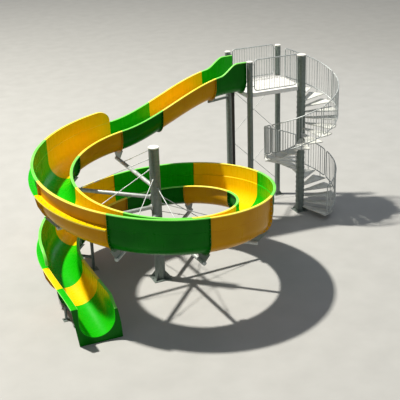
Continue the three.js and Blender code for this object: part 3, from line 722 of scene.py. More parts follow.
@dataclass
class Course:
    """The flume's centre line: straight chute, ring round the column, exit chute."""

    # Inside of the channel, and its depth below the low rim
    half_width: float = 0.565
    depth: float = 0.885
    joint_gap: float = CLEARANCE
    # Ring: its fall in a whole turn, where its first joint stands, and its outer wall over the low rim
    ring_radius: float = 3.345
    pitch: float = 2.556
    ring_from: float = 93.5
    section_angle: float = 45.0
    ring_sections: int = 10
    ring_rim: float = 4.601
    wall_raise: float = 0.478
    panel_sections: int = 3
    # Entry chute: its walls rise beside the platform, and come down over these X
    entry_x: float = 4.870
    entry_y: float = 3.620
    entry_rim: float = 6.030
    entry_raise: float = 0.350
    entry_wave: tuple[float, float] = (3.8, 4.5)
    chute_joints: tuple[float, float] = (3.6, 1.4)
    first_joint_rim: float = 5.930
    first_joint_slope: float = -0.23
    # Exit chute: it gets deeper from a share of its way on, its inner wall drops from a Y on,
    # and its middle joint leans
    exit_x: float = -3.2
    exit_y: float = -3.1
    exit_joint_y: float = -1.6
    exit_rim: float = 1.3
    exit_sink: float = 0.215
    exit_sink_from: float = 0.4
    exit_drop: float = 0.270
    exit_drop_from: float = -2.55
    exit_lean: float = 0.28

    def __post_init__(self) -> None:
        """Works out where the ring starts and ends."""
        self.ring_slope = -self.pitch / (2 * math.pi * self.ring_radius)
        self.ring_start = polar(self.ring_radius, self.ring_from, self.ring_rim)
        last = self.ring_from + self.ring_sections * self.section_angle
        self.ring_end = polar(self.ring_radius, last, self.rim(last))

    @property
    def centre(self) -> float:
        """Height of the bottom arc's centre from the low rim."""
        return self.half_width - self.depth

    def rim(self, angle: float) -> float:
        """Returns the height of the ring's low rim at an angle in degrees."""
        return self.ring_rim - self.pitch * (angle - self.ring_from) / 360

    def ring(self, angle: float) -> Station:
        """Returns the ring's station at an angle in degrees."""
        place = polar(self.ring_radius, angle, self.rim(angle))
        return Station(place, math.radians(angle + 90), 0.0, self.wall_raise)

    def chute(self, x: float) -> Station:
        """Finds a station of the straight entry chute.

        Args:
            x: The station's X.

        Returns:
            The station.
        """
        run = self.entry_x - self.ring_start.x
        turn = math.tan(math.radians(self.ring_from - 90))

        def plan(at: float) -> float:
            """Returns the centre line's Y at an X."""
            return hermite((self.entry_x - at) / run, self.entry_y, self.ring_start.y, 0, -run * turn)

        first, top, slope = self.chute_joints[0], self.first_joint_rim, self.first_joint_slope
        upper, lower = self.entry_x - first, first - self.ring_start.x
        if x > first:
            z = hermite((self.entry_x - x) / upper, self.entry_rim, top, 0, upper * slope)
        else:
            z = hermite((first - x) / lower, top, self.ring_rim, lower * slope, lower * self.ring_slope)
        raised = self.entry_raise * smoothstep(x, *self.entry_wave)
        heading = math.atan2((plan(x - SHORT) - plan(x)) / SHORT, -1)
        return Station(Vector((x, plan(x), z)), heading, raised, raised)

    def exit(self, y: float) -> Station:
        """Finds a station of the exit chute.

        Args:
            y: The station's Y.

        Returns:
            The station.
        """
        run = self.ring_end.y - self.exit_y
        turn = math.tan(math.radians(self.ring_from - 90))

        def plan(at: float) -> float:
            """Returns the centre line's X at a Y."""
            return hermite((self.ring_end.y - at) / run, self.ring_end.x, self.exit_x, run * turn, 0)

        u = (self.ring_end.y - y) / run
        z = hermite(u, self.ring_end.z, self.exit_rim, run * self.ring_slope, 0)
        heading = math.atan2(-1, (plan(y - SHORT) - plan(y)) / SHORT)
        sink = self.exit_sink * smoothstep(u, self.exit_sink_from, 1)
        inner = self.exit_drop * (smoothstep(y, self.exit_y, self.exit_drop_from) - 1)
        if y > self.exit_joint_y:
            lean = self.exit_lean * (1 - smoothstep(y, self.exit_joint_y, self.ring_end.y))
        else:
            lean = self.exit_lean * smoothstep(y, self.exit_y, self.exit_joint_y)
        return Station(Vector((plan(y), y, z)), heading, inner, 0.0, sink, lean)

    def section(self, number: int) -> tuple[Callable[[float], Station], float]:
        """Finds the stations of one flume section.

        Args:
            number: The section's number, from 1 at the platform.

        Returns:
            A function from 0 to 1 along the section, and its rough length.
        """
        chute = [self.entry_x, *self.chute_joints, self.ring_start.x]
        leaving = [self.ring_end.y, self.exit_joint_y, self.exit_y]
        first_exit = len(chute) + self.ring_sections
        if number < len(chute):
            start, end, station, scale = chute[number - 1], chute[number], self.chute, 1.0
        elif number < first_exit:
            start = self.ring_from + self.section_angle * (number - len(chute))
            end, station = start + self.section_angle, self.ring
            scale = math.radians(1) * self.ring_radius
        else:
            start, end = leaving[number - first_exit], leaving[number - first_exit + 1]
            station, scale = self.exit, 1.0
        length = abs(end - start) * scale
        trim = self.joint_gap / 2 / length
        return (lambda u: station(start + (end - start) * (trim + u * (1 - 2 * trim)))), length


@dataclass
class Flume:
    """The laminate channels, wall panels, joint flanges and their bolts."""

    finishes: Finishes
    course: Course
    # Sections: their number, their laminate, and the steps that they are made in
    sections: int = 15
    sheet: float = 0.012
    step_length: float = 0.065
    exit_steps: int = 30
    arc_steps: int = 24
    # Rims: how far a lip and a wide ledge reach out, their strips, and the turn's start at the wall
    lip_edge: float = 0.094
    ledge_edge: float = 0.209
    lip_strips: int = 6
    rim_edge: float = 0.014
    # A moulded tall wall's crease: its step outwards, and where it folds at the low rim's level
    crease: float = 0.022
    fold_drop: float = 0.022
    fold_under: float = 0.012
    fold_over: float = 0.008
    # Tall walls: the rounded end's radius, and the steps in it, behind it and in a wall without one
    corner: float = 0.410
    corner_steps: int = 10
    cornered_steps: int = 20
    wall_steps: int = 24
    # Joint flanges: radii of their edges, and the step of the arc where a ledged one turns off
    flange_in: float = 0.572
    flange_out: float = 0.655
    flange_sheet: float = 0.011
    flange_under: float = 0.016
    flange_steps: int = 20
    ledge_step: int = 18
    ledge_flange: tuple[tuple[float, float], ...] = (
        (0.140, -0.370), (0.163, -0.265), (0.185, -0.160), (0.200, -0.016)
    )
    panel_levels: tuple[float, ...] = (0.008, 0.160, 0.320)
    # End plate: its edges' corners, as heights and distances from the middle
    plate_outer: tuple[tuple[float, float], ...] = ((0.0, 0.775), (-1.3, 0.605))
    plate_inner: tuple[tuple[float, float], ...] = (
        (-0.27, 0.660), (-0.5, 0.700), (-0.8, 0.745), (-1.3, 0.770)
    )
    plate_sheet: float = 0.014
    # Bolts: their circle round the arc, and the levels of the flange, the washer's top and the head's top
    bolt_spacing: float = 0.16
    bolt_circle: float = 0.618
    bolt_above: float = 0.100
    bolt_below: float = 0.060
    foot_bolt: float = 0.120
    foot_bolt_spacing: float = 0.224
    bolt_levels: tuple[float, float, float] = (0.0115, 0.0135, 0.0220)
    washer_radius: float = 0.017
    head_radius: float = 0.012
    bolt_places: list[Matrix] = field(default_factory=list)

    @property
    def ring_first(self) -> int:
        """Number of the first section of the ring."""
        return len(self.course.chute_joints) + 2

    @property
    def ring_last(self) -> int:
        """Number of the last section of the ring."""
        return self.ring_first + self.course.ring_sections - 1

    def lip(self, edge: float) -> list[tuple[float, float]]:
        """Lays out a rolled rim, from its outer edge in to the wall, as outward offsets and heights."""
        rolled = [(edge, -0.029), (edge, -0.012), (edge - 0.003, -0.004), (edge - 0.011, 0.0)]
        return [*rolled, (self.rim_edge, 0.0), (0.004, -0.003), (0.0, -0.012)]

    def paint(self, number: int) -> tuple[list[bpy.types.Material], Slot]:
        """Finds a section's colours: odd sections are green, even ones yellow.

        Args:
            number: The section.

        Returns:
            Its materials (inside, lip with its painted highlight, back and lip's back with painted shade) and
            its slot.
        """
        f = self.finishes
        if number % 2:
            return [f.green, f.green_lip_highlight, f.green_back_shaded, f.green_back_shaded], Slot.GREEN
        return [f.yellow, f.yellow_lip_highlight, f.yellow_back_shaded, f.yellow_back_shaded], Slot.YELLOW

    def arc(self, radius: float, sink: float) -> list[tuple[float, float]]:
        """Lays out the channel's bottom arc from left to right, as offsets and heights.

        Args:
            radius: Distance from the channel's middle.
            sink: How much deeper the channel is.

        Returns:
            Points from one wall's foot to the other's.
        """
        base = self.course.centre - sink
        turns = [math.pi * (1 + i / self.arc_steps) for i in range(self.arc_steps + 1)]
        return [(radius * math.cos(turn), base + radius * math.sin(turn)) for turn in turns]

    def wall(self, raised: float, sink: float, creased: bool) -> list[tuple[float, float]]:
        """Lays out one side wall above the bottom arc.

        Args:
            raised: Extra height of this wall.
            sink: How much deeper the channel is.
            creased: Whether a tall wall steps outwards at the low rim's level.

        Returns:
            Pairs of outward offset and height, from the arc up to the lip.
        """
        bottom, top = self.course.centre - sink, raised - self.rim_edge
        share = min(max(raised / self.course.wall_raise, 0.0), 1.0)
        fold = min(raised, 0.0) - self.fold_drop * (1 - share)
        step = self.crease * share if creased else 0.0
        under, over = fold - self.fold_under, fold + self.fold_over * share
        lower = [(0.0, bottom + (under - bottom) * t) for t in (0.25, 0.5, 0.75, 1.0)]
        upper = [(step, over + (top - over) * t) for t in (0.0, 0.33, 0.66)]
        return [*lower, (step * 0.5, (under + over) / 2), *upper, (step * 0.3, top)]

    def profile(self, station: Station, ledged: bool, creased: bool) -> list[Vector]:
        """Lays the channel's cross section on a station.

        Args:
            station: Where the cross section stands.
            ledged: Whether the outer wall is low and ends in a wide ledge.
            creased: Whether a moulded tall wall has its crease.

        Returns:
            Points from the left lip's edge to the right lip's edge.
        """
        half, right = self.course.half_width, 0.0 if ledged else station.right
        line = [(-half - out, station.left + up) for out, up in self.lip(self.lip_edge)]
        line += [(-half - out, up) for out, up in reversed(self.wall(station.left, station.sink, False))]
        line += self.arc(half, station.sink)
        line += [(half + out, up) for out, up in self.wall(right, station.sink, creased)]
        rim = self.lip(self.ledge_edge if ledged else self.lip_edge)
        line += [(half + out, right + up) for out, up in reversed(rim)]
        return [station.at(across, up) for across, up in line]

    def flange_line(self, station: Station, radius: float, ledged: bool) -> list[Vector]:
        """Lays one edge of a joint flange round the channel at a station.

        Args:
            station: The joint.
            radius: Distance from the channel's middle.
            ledged: Whether the outer wall is low and ends in a wide ledge.

        Returns:
            Points from the left lip down, round and up to the right lip.
        """
        base, left = self.course.centre - station.sink, station.left - self.flange_under
        top = (0.0 if ledged else station.right) - self.flange_under

        def on_arc(step: float) -> tuple[float, float]:
            """Returns the bottom arc's point at a number of steps from the left wall's foot."""
            turn = math.pi * (1 + step / self.flange_steps)
            return radius * math.cos(turn), base + radius * math.sin(turn)

        line = [(-radius, left), (-radius, (left + base) / 2), *map(on_arc, range(self.ledge_step))]
        if ledged and radius > self.flange_in:
            # The flange leaves the arc half a step early, for the ledge's edge
            line.append(on_arc(self.ledge_step - 0.5))
            for i, (out, up) in enumerate(self.ledge_flange):
                line.append((self.course.half_width + out, up if i else up - station.sink))
        else:
            line += map(on_arc, range(self.ledge_step, self.flange_steps + 1))
            line += [(radius, (top + base) / 2), (radius, top)]
        return [station.at(across, up) for across, up in line]

    def flange(self, number: int, end: int, ledged: bool = False, panel: bool = False) -> bpy.types.Object:
        """Makes the flange at one end of a section, or of the wall panel that stands on it.

        Args:
            number: The section.
            end: 0 at the section's start, 1 at its end.
            ledged: Whether the outer wall is low and ends in a wide ledge.
            panel: Whether the flange is the panel's, which stands on the low rim.

        Returns:
            The flange.
        """
        station, radii = self.course.section(number)[0](end), (self.flange_in, self.flange_out)
        if panel:
            heights = (*self.panel_levels, self.course.wall_raise - self.flange_under)
            rows = [[station.at(radius, up) for up in heights] for radius in radii]
        else:
            rows = [self.flange_line(station, radius, ledged) for radius in radii]
        front = station.ahead() * (2 * end - 1)
        # A flange has the back's darker gel coat, which is painted shade
        return Bench.sheet(rows, self.flange_sheet, front, [self.paint(number)[0][2]])

    def channel(self, number: int) -> None:
        """Makes one section: its channel and the flanges at its ends.

        Args:
            number: The section.
        """
        stations, length = self.course.section(number)
        moulded = self.ring_first + self.course.panel_sections
        ledged = self.ring_first <= number < moulded or number >= self.ring_last
        creased = moulded <= number < self.ring_last
        steps = self.exit_steps if number > self.ring_last else round(length / self.step_length)
        rows = [self.profile(stations(i / steps), ledged, creased) for i in range(steps + 1)]
        first, last = self.lip_strips, len(rows[0]) - 2 - self.lip_strips
        # A ledge's broad strip has the inside's colour, and its rolled edges have the lip's painted highlight
        broad = last + 3 if ledged else last
        materials, slot = self.paint(number)

        def band(strip: int) -> int:
            """Returns 1 on the lips' strips and 0 on the others."""
            return int(strip < first or (strip > last and strip != broad))

        channel = Bench.sheet(rows, self.sheet, UP, materials, band, back_offset=2)
        parts = [channel, self.flange(number, 0, ledged)]
        if number == self.ring_last:
            parts += [self.wall_sheet(number), self.flange(number, 0, panel=True)]
        if number == self.sections:
            parts.append(self.end_plate(number, stations(1.0)))
        else:
            parts.append(self.flange(number, 1, ledged))
        Bench.fit(parts, f"channel_{number:02d}", slot, [f"flume_section_{number:02d}"])
        if number < self.sections:
            station = stations(1.0)
            self.mark_bolts(station, station.right if number < self.ring_last else 0.0)

    def mark_bolts(self, station: Station, right: float) -> None:
        """Notes where a joint's bolts go.

        Args:
            station: The joint.
            right: How far the outer wall's flange rises over the low rim.
        """
        radius, base = self.bolt_circle, self.course.centre - station.sink
        step = self.bolt_spacing / radius
        count = int(math.pi / step)
        first = math.pi + (math.pi - step * count) / 2
        turns = [first + step * i for i in range(count + 1)]
        line = [(radius * math.cos(turn), base + radius * math.sin(turn)) for turn in turns]
        for side, top in ((-1, station.left), (1, right)):
            rise = top - self.bolt_below - base - self.bolt_above
            for i in range(int(rise / self.bolt_spacing) + 1):
                line.append((side * radius, base + self.bolt_above + self.bolt_spacing * i))
        through = (station.ahead() - UP * station.lean).normalized()
        turned = through.to_track_quat("Z", "Y").to_matrix().to_4x4()
        self.bolt_places += [Matrix.Translation(station.at(*spot)) @ turned for spot in line]

    def wall_sheet(self, number: int) -> bpy.types.Object:
        """Makes the tall wall that stands on a section's low outer rim.

        Args:
            number: The section that carries it.

        Returns:
            The sheet, with a bolted foot on all but the last section of the ring.
        """
        stations, length = self.course.section(number)
        half, lip = self.course.half_width, self.lip(self.lip_edge)
        shares = [i / self.wall_steps for i in range(self.wall_steps + 1)]
        way = {self.ring_first: 1, self.ring_last: -1}.get(number, 0)
        if way:
            turns = [math.radians(90 * i / self.corner_steps) for i in range(self.corner_steps + 1)]
            shares = [self.corner * (1 - math.cos(turn)) / length for turn in turns]
            bend, steps = shares[-1], self.cornered_steps
            shares += [bend + (1 - bend) * i / steps for i in range(1, steps + 1)]
        if way < 0:
            shares = [1 - u for u in reversed(shares)]
        # A panel's foot lies on the ledge, and the last section's wall goes down into its channel
        foot = [(self.ledge_edge, 0.002), (self.foot_bolt, 0.002), (0.014, 0.002), (0.003, 0.006)]
        if number == self.ring_last:
            foot = [(0.0, -0.004)]
        rows = []
        for u in shares:
            along = (1 - u if way < 0 else u) * length
            top, lean = self.course.wall_raise, 0.0
            if way and along < self.corner:
                # The rounded end is a quarter circle, on which the rim leans the more the lower it is
                lean = math.asin(min(1.0, 1 - along / self.corner))
                top -= self.corner * (1 - math.cos(lean))
            # The rim leans with the corner, and the wall below stays inside it
            leant = way * math.sin(lean) / length
            here = stations(min(max(u - lip[-1][1] * leant, 0.0), 1.0))
            row = [here.at(half + out, up) for out, up in foot]
            row += [here.at(half, 0.02 + (top - 0.04) * t) for t in (0.0, 0.2, 0.45, 0.7, 0.95)]
            for out, up in reversed(lip):
                turned = stations(min(max(u - up * leant, 0.0), 1.0))
                row.append(turned.at(half + out, top + up * math.cos(lean)))
            rows.append(row)
        first, last = len(foot) - 1, len(rows[0]) - 2 - self.lip_strips
        inwards = stations(0.5).at(-1.0, 0.0) - stations(0.5).at(0.0, 0.0)
        # The foot's top is the sheet's back, and it has the inside's gel coat, without the back's painted
        # shade
        inside, edge, back, _ = self.paint(number)[0]
        materials = [inside, edge, back, inside]

        def band(strip: int) -> int:
            """Returns 1 on the foot's and the lip's strips and 0 on the wall's."""
            return int(strip < first or strip > last)

        return Bench.sheet(rows, self.sheet, inwards, materials, band, back_offset=2)

    def panel(self, number: int) -> None:
        """Makes one bolted wall panel with the flanges at its ends, and notes where its foot's bolts go.

        Args:
            number: The section that carries it.
        """
        parts = [self.wall_sheet(number), self.flange(number, 1, panel=True)]
        if number > self.ring_first:
            parts.append(self.flange(number, 0, panel=True))
        Bench.fit(parts, f"side_panel_{number:02d}", self.paint(number)[1], [f"wall_panel_{number:02d}"])
        stations, length = self.course.section(number)
        count = round(length / self.foot_bolt_spacing)
        for i in range(count):
            spot = stations((i + 0.5) / count).at(self.course.half_width + self.foot_bolt, 0.004)
            self.bolt_places.append(Matrix.Translation(spot))

    @staticmethod
    def edge_at(edge: Sequence[tuple[float, float]], up: float) -> float:
        """Finds how far a plate's edge is from the middle at a height.

        Args:
            edge: The edge's corners from the top down, as heights and distances.
            up: The height.

        Returns:
            The distance.
        """
        for (high, far), (low, near) in zip(edge, edge[1:]):
            if up >= low:
                return far + (near - far) * (high - up) / (high - low)
        return edge[-1][1]

    def end_plate(self, number: int, station: Station) -> bpy.types.Object:
        """Makes the plate that closes the space round the channel's end, down to the ground.

        Args:
            number: The section that it closes.
            station: The channel's end.

        Returns:
            The plate.
        """
        base, ground, reach = self.course.centre - station.sink, -station.place.z, self.flange_in
        heights = [station.left - 0.001 + (base - station.left) * share for share in (0.0, 0.5)]
        inner = [(-reach, up) for up in heights]
        outer = [(-self.edge_at(self.plate_inner, up), up) for up in heights]
        corners = (-self.edge_at(self.plate_inner, ground), self.edge_at(self.plate_outer, ground))
        # A third of the arc's steps goes down one side, a third along the ground and a third up again
        third = self.arc_steps // 3
        for i, spot in enumerate(self.arc(reach, station.sink)):
            low = base + (ground - base) * min(i, self.arc_steps - i, third) / third
            if i <= third:
                across = -self.edge_at(self.plate_inner, low)
            elif i >= 2 * third:
                across = self.edge_at(self.plate_outer, low)
            else:
                across = corners[0] + (corners[1] - corners[0]) * (i - third) / third
            inner.append(spot)
            outer.append((across, low))
        for up in (base / 2, -0.001):
            inner.append((reach, up))
            outer.append((self.edge_at(self.plate_outer, up), up))
        rows = [[station.at(across, up) for across, up in line] for line in (inner, outer)]
        # The plate has the back's darker gel coat, which is painted shade
        return Bench.sheet(rows, self.plate_sheet, station.ahead(), [self.paint(number)[0][2]])

    def bolts(self) -> None:
        """Makes the joint bolts: a washer with a hex head or nut on both sides of each flange pair."""
        parts = []
        for side in (-1, 1):
            flange, washer, head = (UP * (side * level) for level in self.bolt_levels)
            parts.append(Bench.bar(flange, washer, self.washer_radius, 10))
            parts.append(Bench.bar(washer, head, self.head_radius, 6))
        bolts = Bench.copies(Bench.join(parts), self.bolt_places)
        Bench.fit([bolts], "joint_bolts", Slot.STEEL, finish=self.finishes.zinc, smooth=20)

    def build(self) -> None:
        """Makes the whole flume."""
        for number in range(1, self.sections + 1):
            self.channel(number)
        for number in range(self.ring_first, self.ring_first + self.course.panel_sections):
            self.panel(number)
        self.bolts()


# Column, arms and stands


@dataclass
class Footing:
    """How a tube stands: a square base plate with anchor bolts and gussets below, a plastic cap above."""

    finishes: Finishes
    # Base plate, and how far up in it the tube starts
    thickness: float = 0.025
    tube_foot: float = 0.020
    gusset_sheet: float = 0.012
    # Anchor bolts: from the plate's edge, and each washer, nut and end by its top, radius and sides
    bolt_edge: float = 0.045
    nut_stack: tuple[tuple[float, float, int], ...] = (
        (0.005, 0.024, 12), (0.024, 0.018, 6), (0.045, 0.009, 8)
    )
    cap_height: float = 0.045
    cap_overhang: float = 0.008

    def plate(self, centre: Vector, size: float, tube: float, gusset: float) -> list[bpy.types.Object]:
        """Makes a base plate, its gussets and anchor nuts.

        Args:
            centre: Where the tube's axis meets the ground.
            size: The plate's side.
            tube: The tube's radius.
            gusset: The gussets' height, or 0 for none.

        Returns:
            The loose parts.
        """
        top = UP * self.thickness
        made = [Bench.box(centre + top / 2, (size, size, self.thickness), eased=0.004)]
        for i in range(4):
            out = polar(1, 45 + 90 * i, 0)
            if gusset:
                foot = centre + out * (tube - 0.005) + top
                made.append(Bench.fin(foot, out, size / 2 - tube * 0.85, gusset, self.gusset_sheet))
            spot, low = centre + polar(size / 2 - self.bolt_edge, 90 * i, 0) + top, 0.0
            for high, radius, sides in self.nut_stack:
                made.append(Bench.bar(spot + UP * low, spot + UP * high, radius, sides))
                low = high
        return made

    def tube(
        self, centre: Vector, top: float, radius: float, sides: int, size: float,
        gusset: float = 0.0, eased: float = 0.0,
    ) -> list[bpy.types.Object]:
        """Makes an upright tube on its base plate.

        Args:
            centre: Where the tube's axis meets the ground.
            top: Height of the tube's top.
            radius: The tube's radius.
            sides: Facets round it.
            size: The plate's side.
            gusset: The gussets' height, or 0 for none.
            eased: Bevel at the tube's ends, or 0.

        Returns:
            The loose parts.
        """
        tube = Bench.bar(centre + UP * self.tube_foot, centre + UP * top, radius, sides, eased)
        return [tube, *self.plate(centre, size, radius, gusset)]

    def cap(self, name: str, centre: Vector, top: float, radius: float) -> None:
        """Fits a shallow pressed cap with a rounded rim on a tube.

        Args:
            name: The piece's name.
            centre: Where the tube's axis meets the ground.
            top: Height of the tube's top, which the cap stands on.
            radius: The tube's radius.
        """
        foot = centre + UP * top
        cap = Bench.bar(foot, foot + UP * self.cap_height, radius + self.cap_overhang, 40, 0.014)
        Bench.fit([cap], name, Slot.STEEL, finish=self.finishes.cap)


@dataclass
class Spine:
    """The main column with its radial arms, cradles and stays."""

    finishes: Finishes
    course: Course
    footing: Footing
    # Column, with its base plate
    radius: float = 0.1778
    height: float = 4.820
    foot: float = 0.640
    gusset: float = 0.260
    # Arms: their drop below the low rim, their reach past the ring's centre line, and the pair of
    # flanges at the column, each from and to a distance
    arm_count: int = 9
    arm_drop: float = 1.250
    arm_radius: float = 0.06985
    arm_overrun: float = 0.150
    arm_plates: tuple[tuple[float, float], ...] = ((0.0, 0.018), (0.020, 0.036))
    # Cradles: the seat under the flange, its half arc, and the foot's half width
    cradle_depth: float = 0.020
    seat_radius: float = 0.6556
    cradle_arc: float = 45.0
    cradle_steps: int = 8
    cradle_foot: float = 0.170
    cradle_horn: float = 0.070
    # Stays: where the foot stands on the arm, the rise at the column, and half the turnbuckle's length
    stay_radius: float = 0.017
    stay_reach: float = 2.760
    stay_rise: float = 1.34413
    stay_seat: float = 0.0103
    turnbuckle: float = 0.110
    turnbuckle_from_foot: float = 0.700
    eye: float = 0.090
    # Stands under the lowest ring joint and the exit's middle joint
    stand_radius: float = 0.05715
    stand_reach: float = 2.540
    stand_top: float = 1.700
    stand_overrun: float = 0.170
    leg_radius: float = 0.04445
    leg_side: float = 0.480

    def column(self) -> None:
        """Makes the column and its cap."""
        top = self.height - self.footing.cap_height
        parts = self.footing.tube(Vector(), top, self.radius, 48, self.foot, self.gusset)
        Bench.fit(parts, "main_column", Slot.STEEL, ["central_column"], self.finishes.steel)
        self.footing.cap("main_column_cap", Vector(), top, self.radius)

    def cradle(self, station: Station, foot_drop: float) -> bpy.types.Object:
        """Makes the plate under a joint: its seat follows the flange, its foot meets the arm.

        Args:
            station: The joint.
            foot_drop: Rim down to the plate's foot.

        Returns:
            The plate.
        """
        base, low = self.course.centre - station.sink, -foot_drop - station.sink
        tip = self.seat_radius * math.sin(math.radians(self.cradle_arc))
        seat, foot = [], []
        for i in range(2 * self.cradle_steps + 1):
            share = i / self.cradle_steps - 1
            turn = math.radians(self.cradle_arc * share)
            across, drop = self.seat_radius * math.sin(turn), self.seat_radius * math.cos(turn)
            seat.append(station.at(across, base - drop))
            # The foot is flat over the middle half, and its ends rise to horns beside the seat
            if abs(share) < 0.5:
                foot.append(station.at(self.cradle_foot * share / 0.5, low))
            else:
                t = (abs(share) - 0.5) / 0.5
                across = self.cradle_foot + (tip + self.cradle_horn - self.cradle_foot) * t
                foot.append(station.at(math.copysign(across, share), low + (base - tip - low) * t))
        plate = Bench.sheet([seat, foot], self.cradle_depth, station.ahead())
        plate.data.transform(Matrix.Translation(station.ahead() * (self.cradle_depth / 2)))
        return plate

    def arm_place(self, index: int) -> tuple[float, float]:
        """Returns an arm's angle in degrees and the height of its axis."""
        angle = self.course.ring_from + self.course.section_angle * index
        return angle, self.course.rim(angle) - self.arm_drop

    def arm(self, index: int) -> None:
        """Makes one radial arm with its pair of column flanges and its cradle.

        Args:
            index: The arm's number from 0 at the top.
        """
        angle, height = self.arm_place(index)
        root = polar(self.radius + CLEARANCE, angle, height)
        tip = polar(self.course.ring_radius + self.arm_overrun, angle, height)
        out = polar(1, angle, 0)
        parts = [Bench.bar(root, tip, self.arm_radius, 24, 0.004)]
        for near, far in self.arm_plates:
            parts.append(Bench.bar(root + out * near, root + out * far, self.arm_radius * 1.5, 24, 0.003))
        # The arm's tubes take the lighter steel, as painted sunlight
        tubes = Bench.dress(Bench.join(parts), self.finishes.arm)
        plate = self.cradle(self.course.ring(angle), self.arm_drop - self.arm_radius / 2)
        # The cradle takes the darker tube steel, as painted shade under the flume
        Bench.dress(plate, self.finishes.steel)
        Bench.fit([tubes, plate], f"radial_arm_{index + 1}", Slot.STEEL, [f"support_arm_{index + 1}"])

    def stay(self, index: int) -> None:
        """Makes one stay: rod, turnbuckle, and an eye at each end.

        Args:
            index: The number of the arm that it holds, from 0.
        """
        angle, height = self.arm_place(index)
        high = polar(self.radius + CLEARANCE, angle, height + self.stay_rise)
        low = polar(self.stay_reach, angle, height + self.arm_radius + self.stay_seat)
        line = (low - high).normalized()
        middle, half = low - line * self.turnbuckle_from_foot, line * self.turnbuckle
        parts = [
            Bench.bar(high, low, self.stay_radius * 0.8, 12),
            Bench.bar(middle - half, middle + half, self.stay_radius * 1.45, 12, 0.004),
            Bench.bar(high, high + line * self.eye, self.stay_radius * 1.25, 10, 0.003),
            Bench.bar(low - line * self.eye, low, self.stay_radius * 1.25, 10, 0.003),
        ]
        Bench.fit(parts, f"stay_{index + 1}", Slot.STEEL, [f"stay_rod_{index + 1}"], self.finishes.rod)

    def ground_stand(self) -> None:
        """Makes the stand under the lowest ring joint: post, short arm and cradle."""
        angle, height = self.arm_place(self.arm_count)
        radius, root = self.stand_radius, polar(self.stand_reach, angle, height)
        tip = polar(self.course.ring_radius + self.stand_overrun, angle, height)
        foot = polar(self.stand_reach, angle, 0)
        post, *base = self.footing.tube(foot, self.stand_top, radius, 24, 0.3, eased=0.006)
        plate = self.cradle(self.course.ring(angle), self.arm_drop - radius / 2)
        parts = [post, Bench.bar(root, tip, radius, 20), *base, plate]
        Bench.fit(parts, "ground_stand", Slot.STEEL, ["ground_post"], self.finishes.steel)

    def exit_stand(self) -> None:
        """Makes the low cradle on two legs under the exit's middle joint."""
        joint = self.course.exit(self.course.exit_joint_y)
        back = joint.lean * (self.course.depth + joint.sink)
        station = replace(joint, place=joint.place - joint.ahead() * back, lean=0.0)
        base = station.place.z + self.course.centre - station.sink
        top = base - math.sqrt(self.seat_radius ** 2 - (self.leg_side - self.leg_radius) ** 2) - 0.002
        parts = [self.cradle(station, station.place.z - station.sink - self.footing.thickness / 2)]
        for way in (-1, 1):
            spot = Vector((station.place.x + way * self.leg_side, station.place.y, 0))
            parts += self.footing.tube(spot, top, self.leg_radius, 20, 0.22)
        Bench.fit(parts, "exit_stand", Slot.STEEL, ["exit_support"], self.finishes.steel)

    def build(self) -> None:
        """Makes the column, every arm and stay, and both stands."""
        self.column()
        for index in range(self.arm_count):
            self.arm(index)
            self.stay(index)
        self.ground_stand()
        self.exit_stand()


# Platform tower


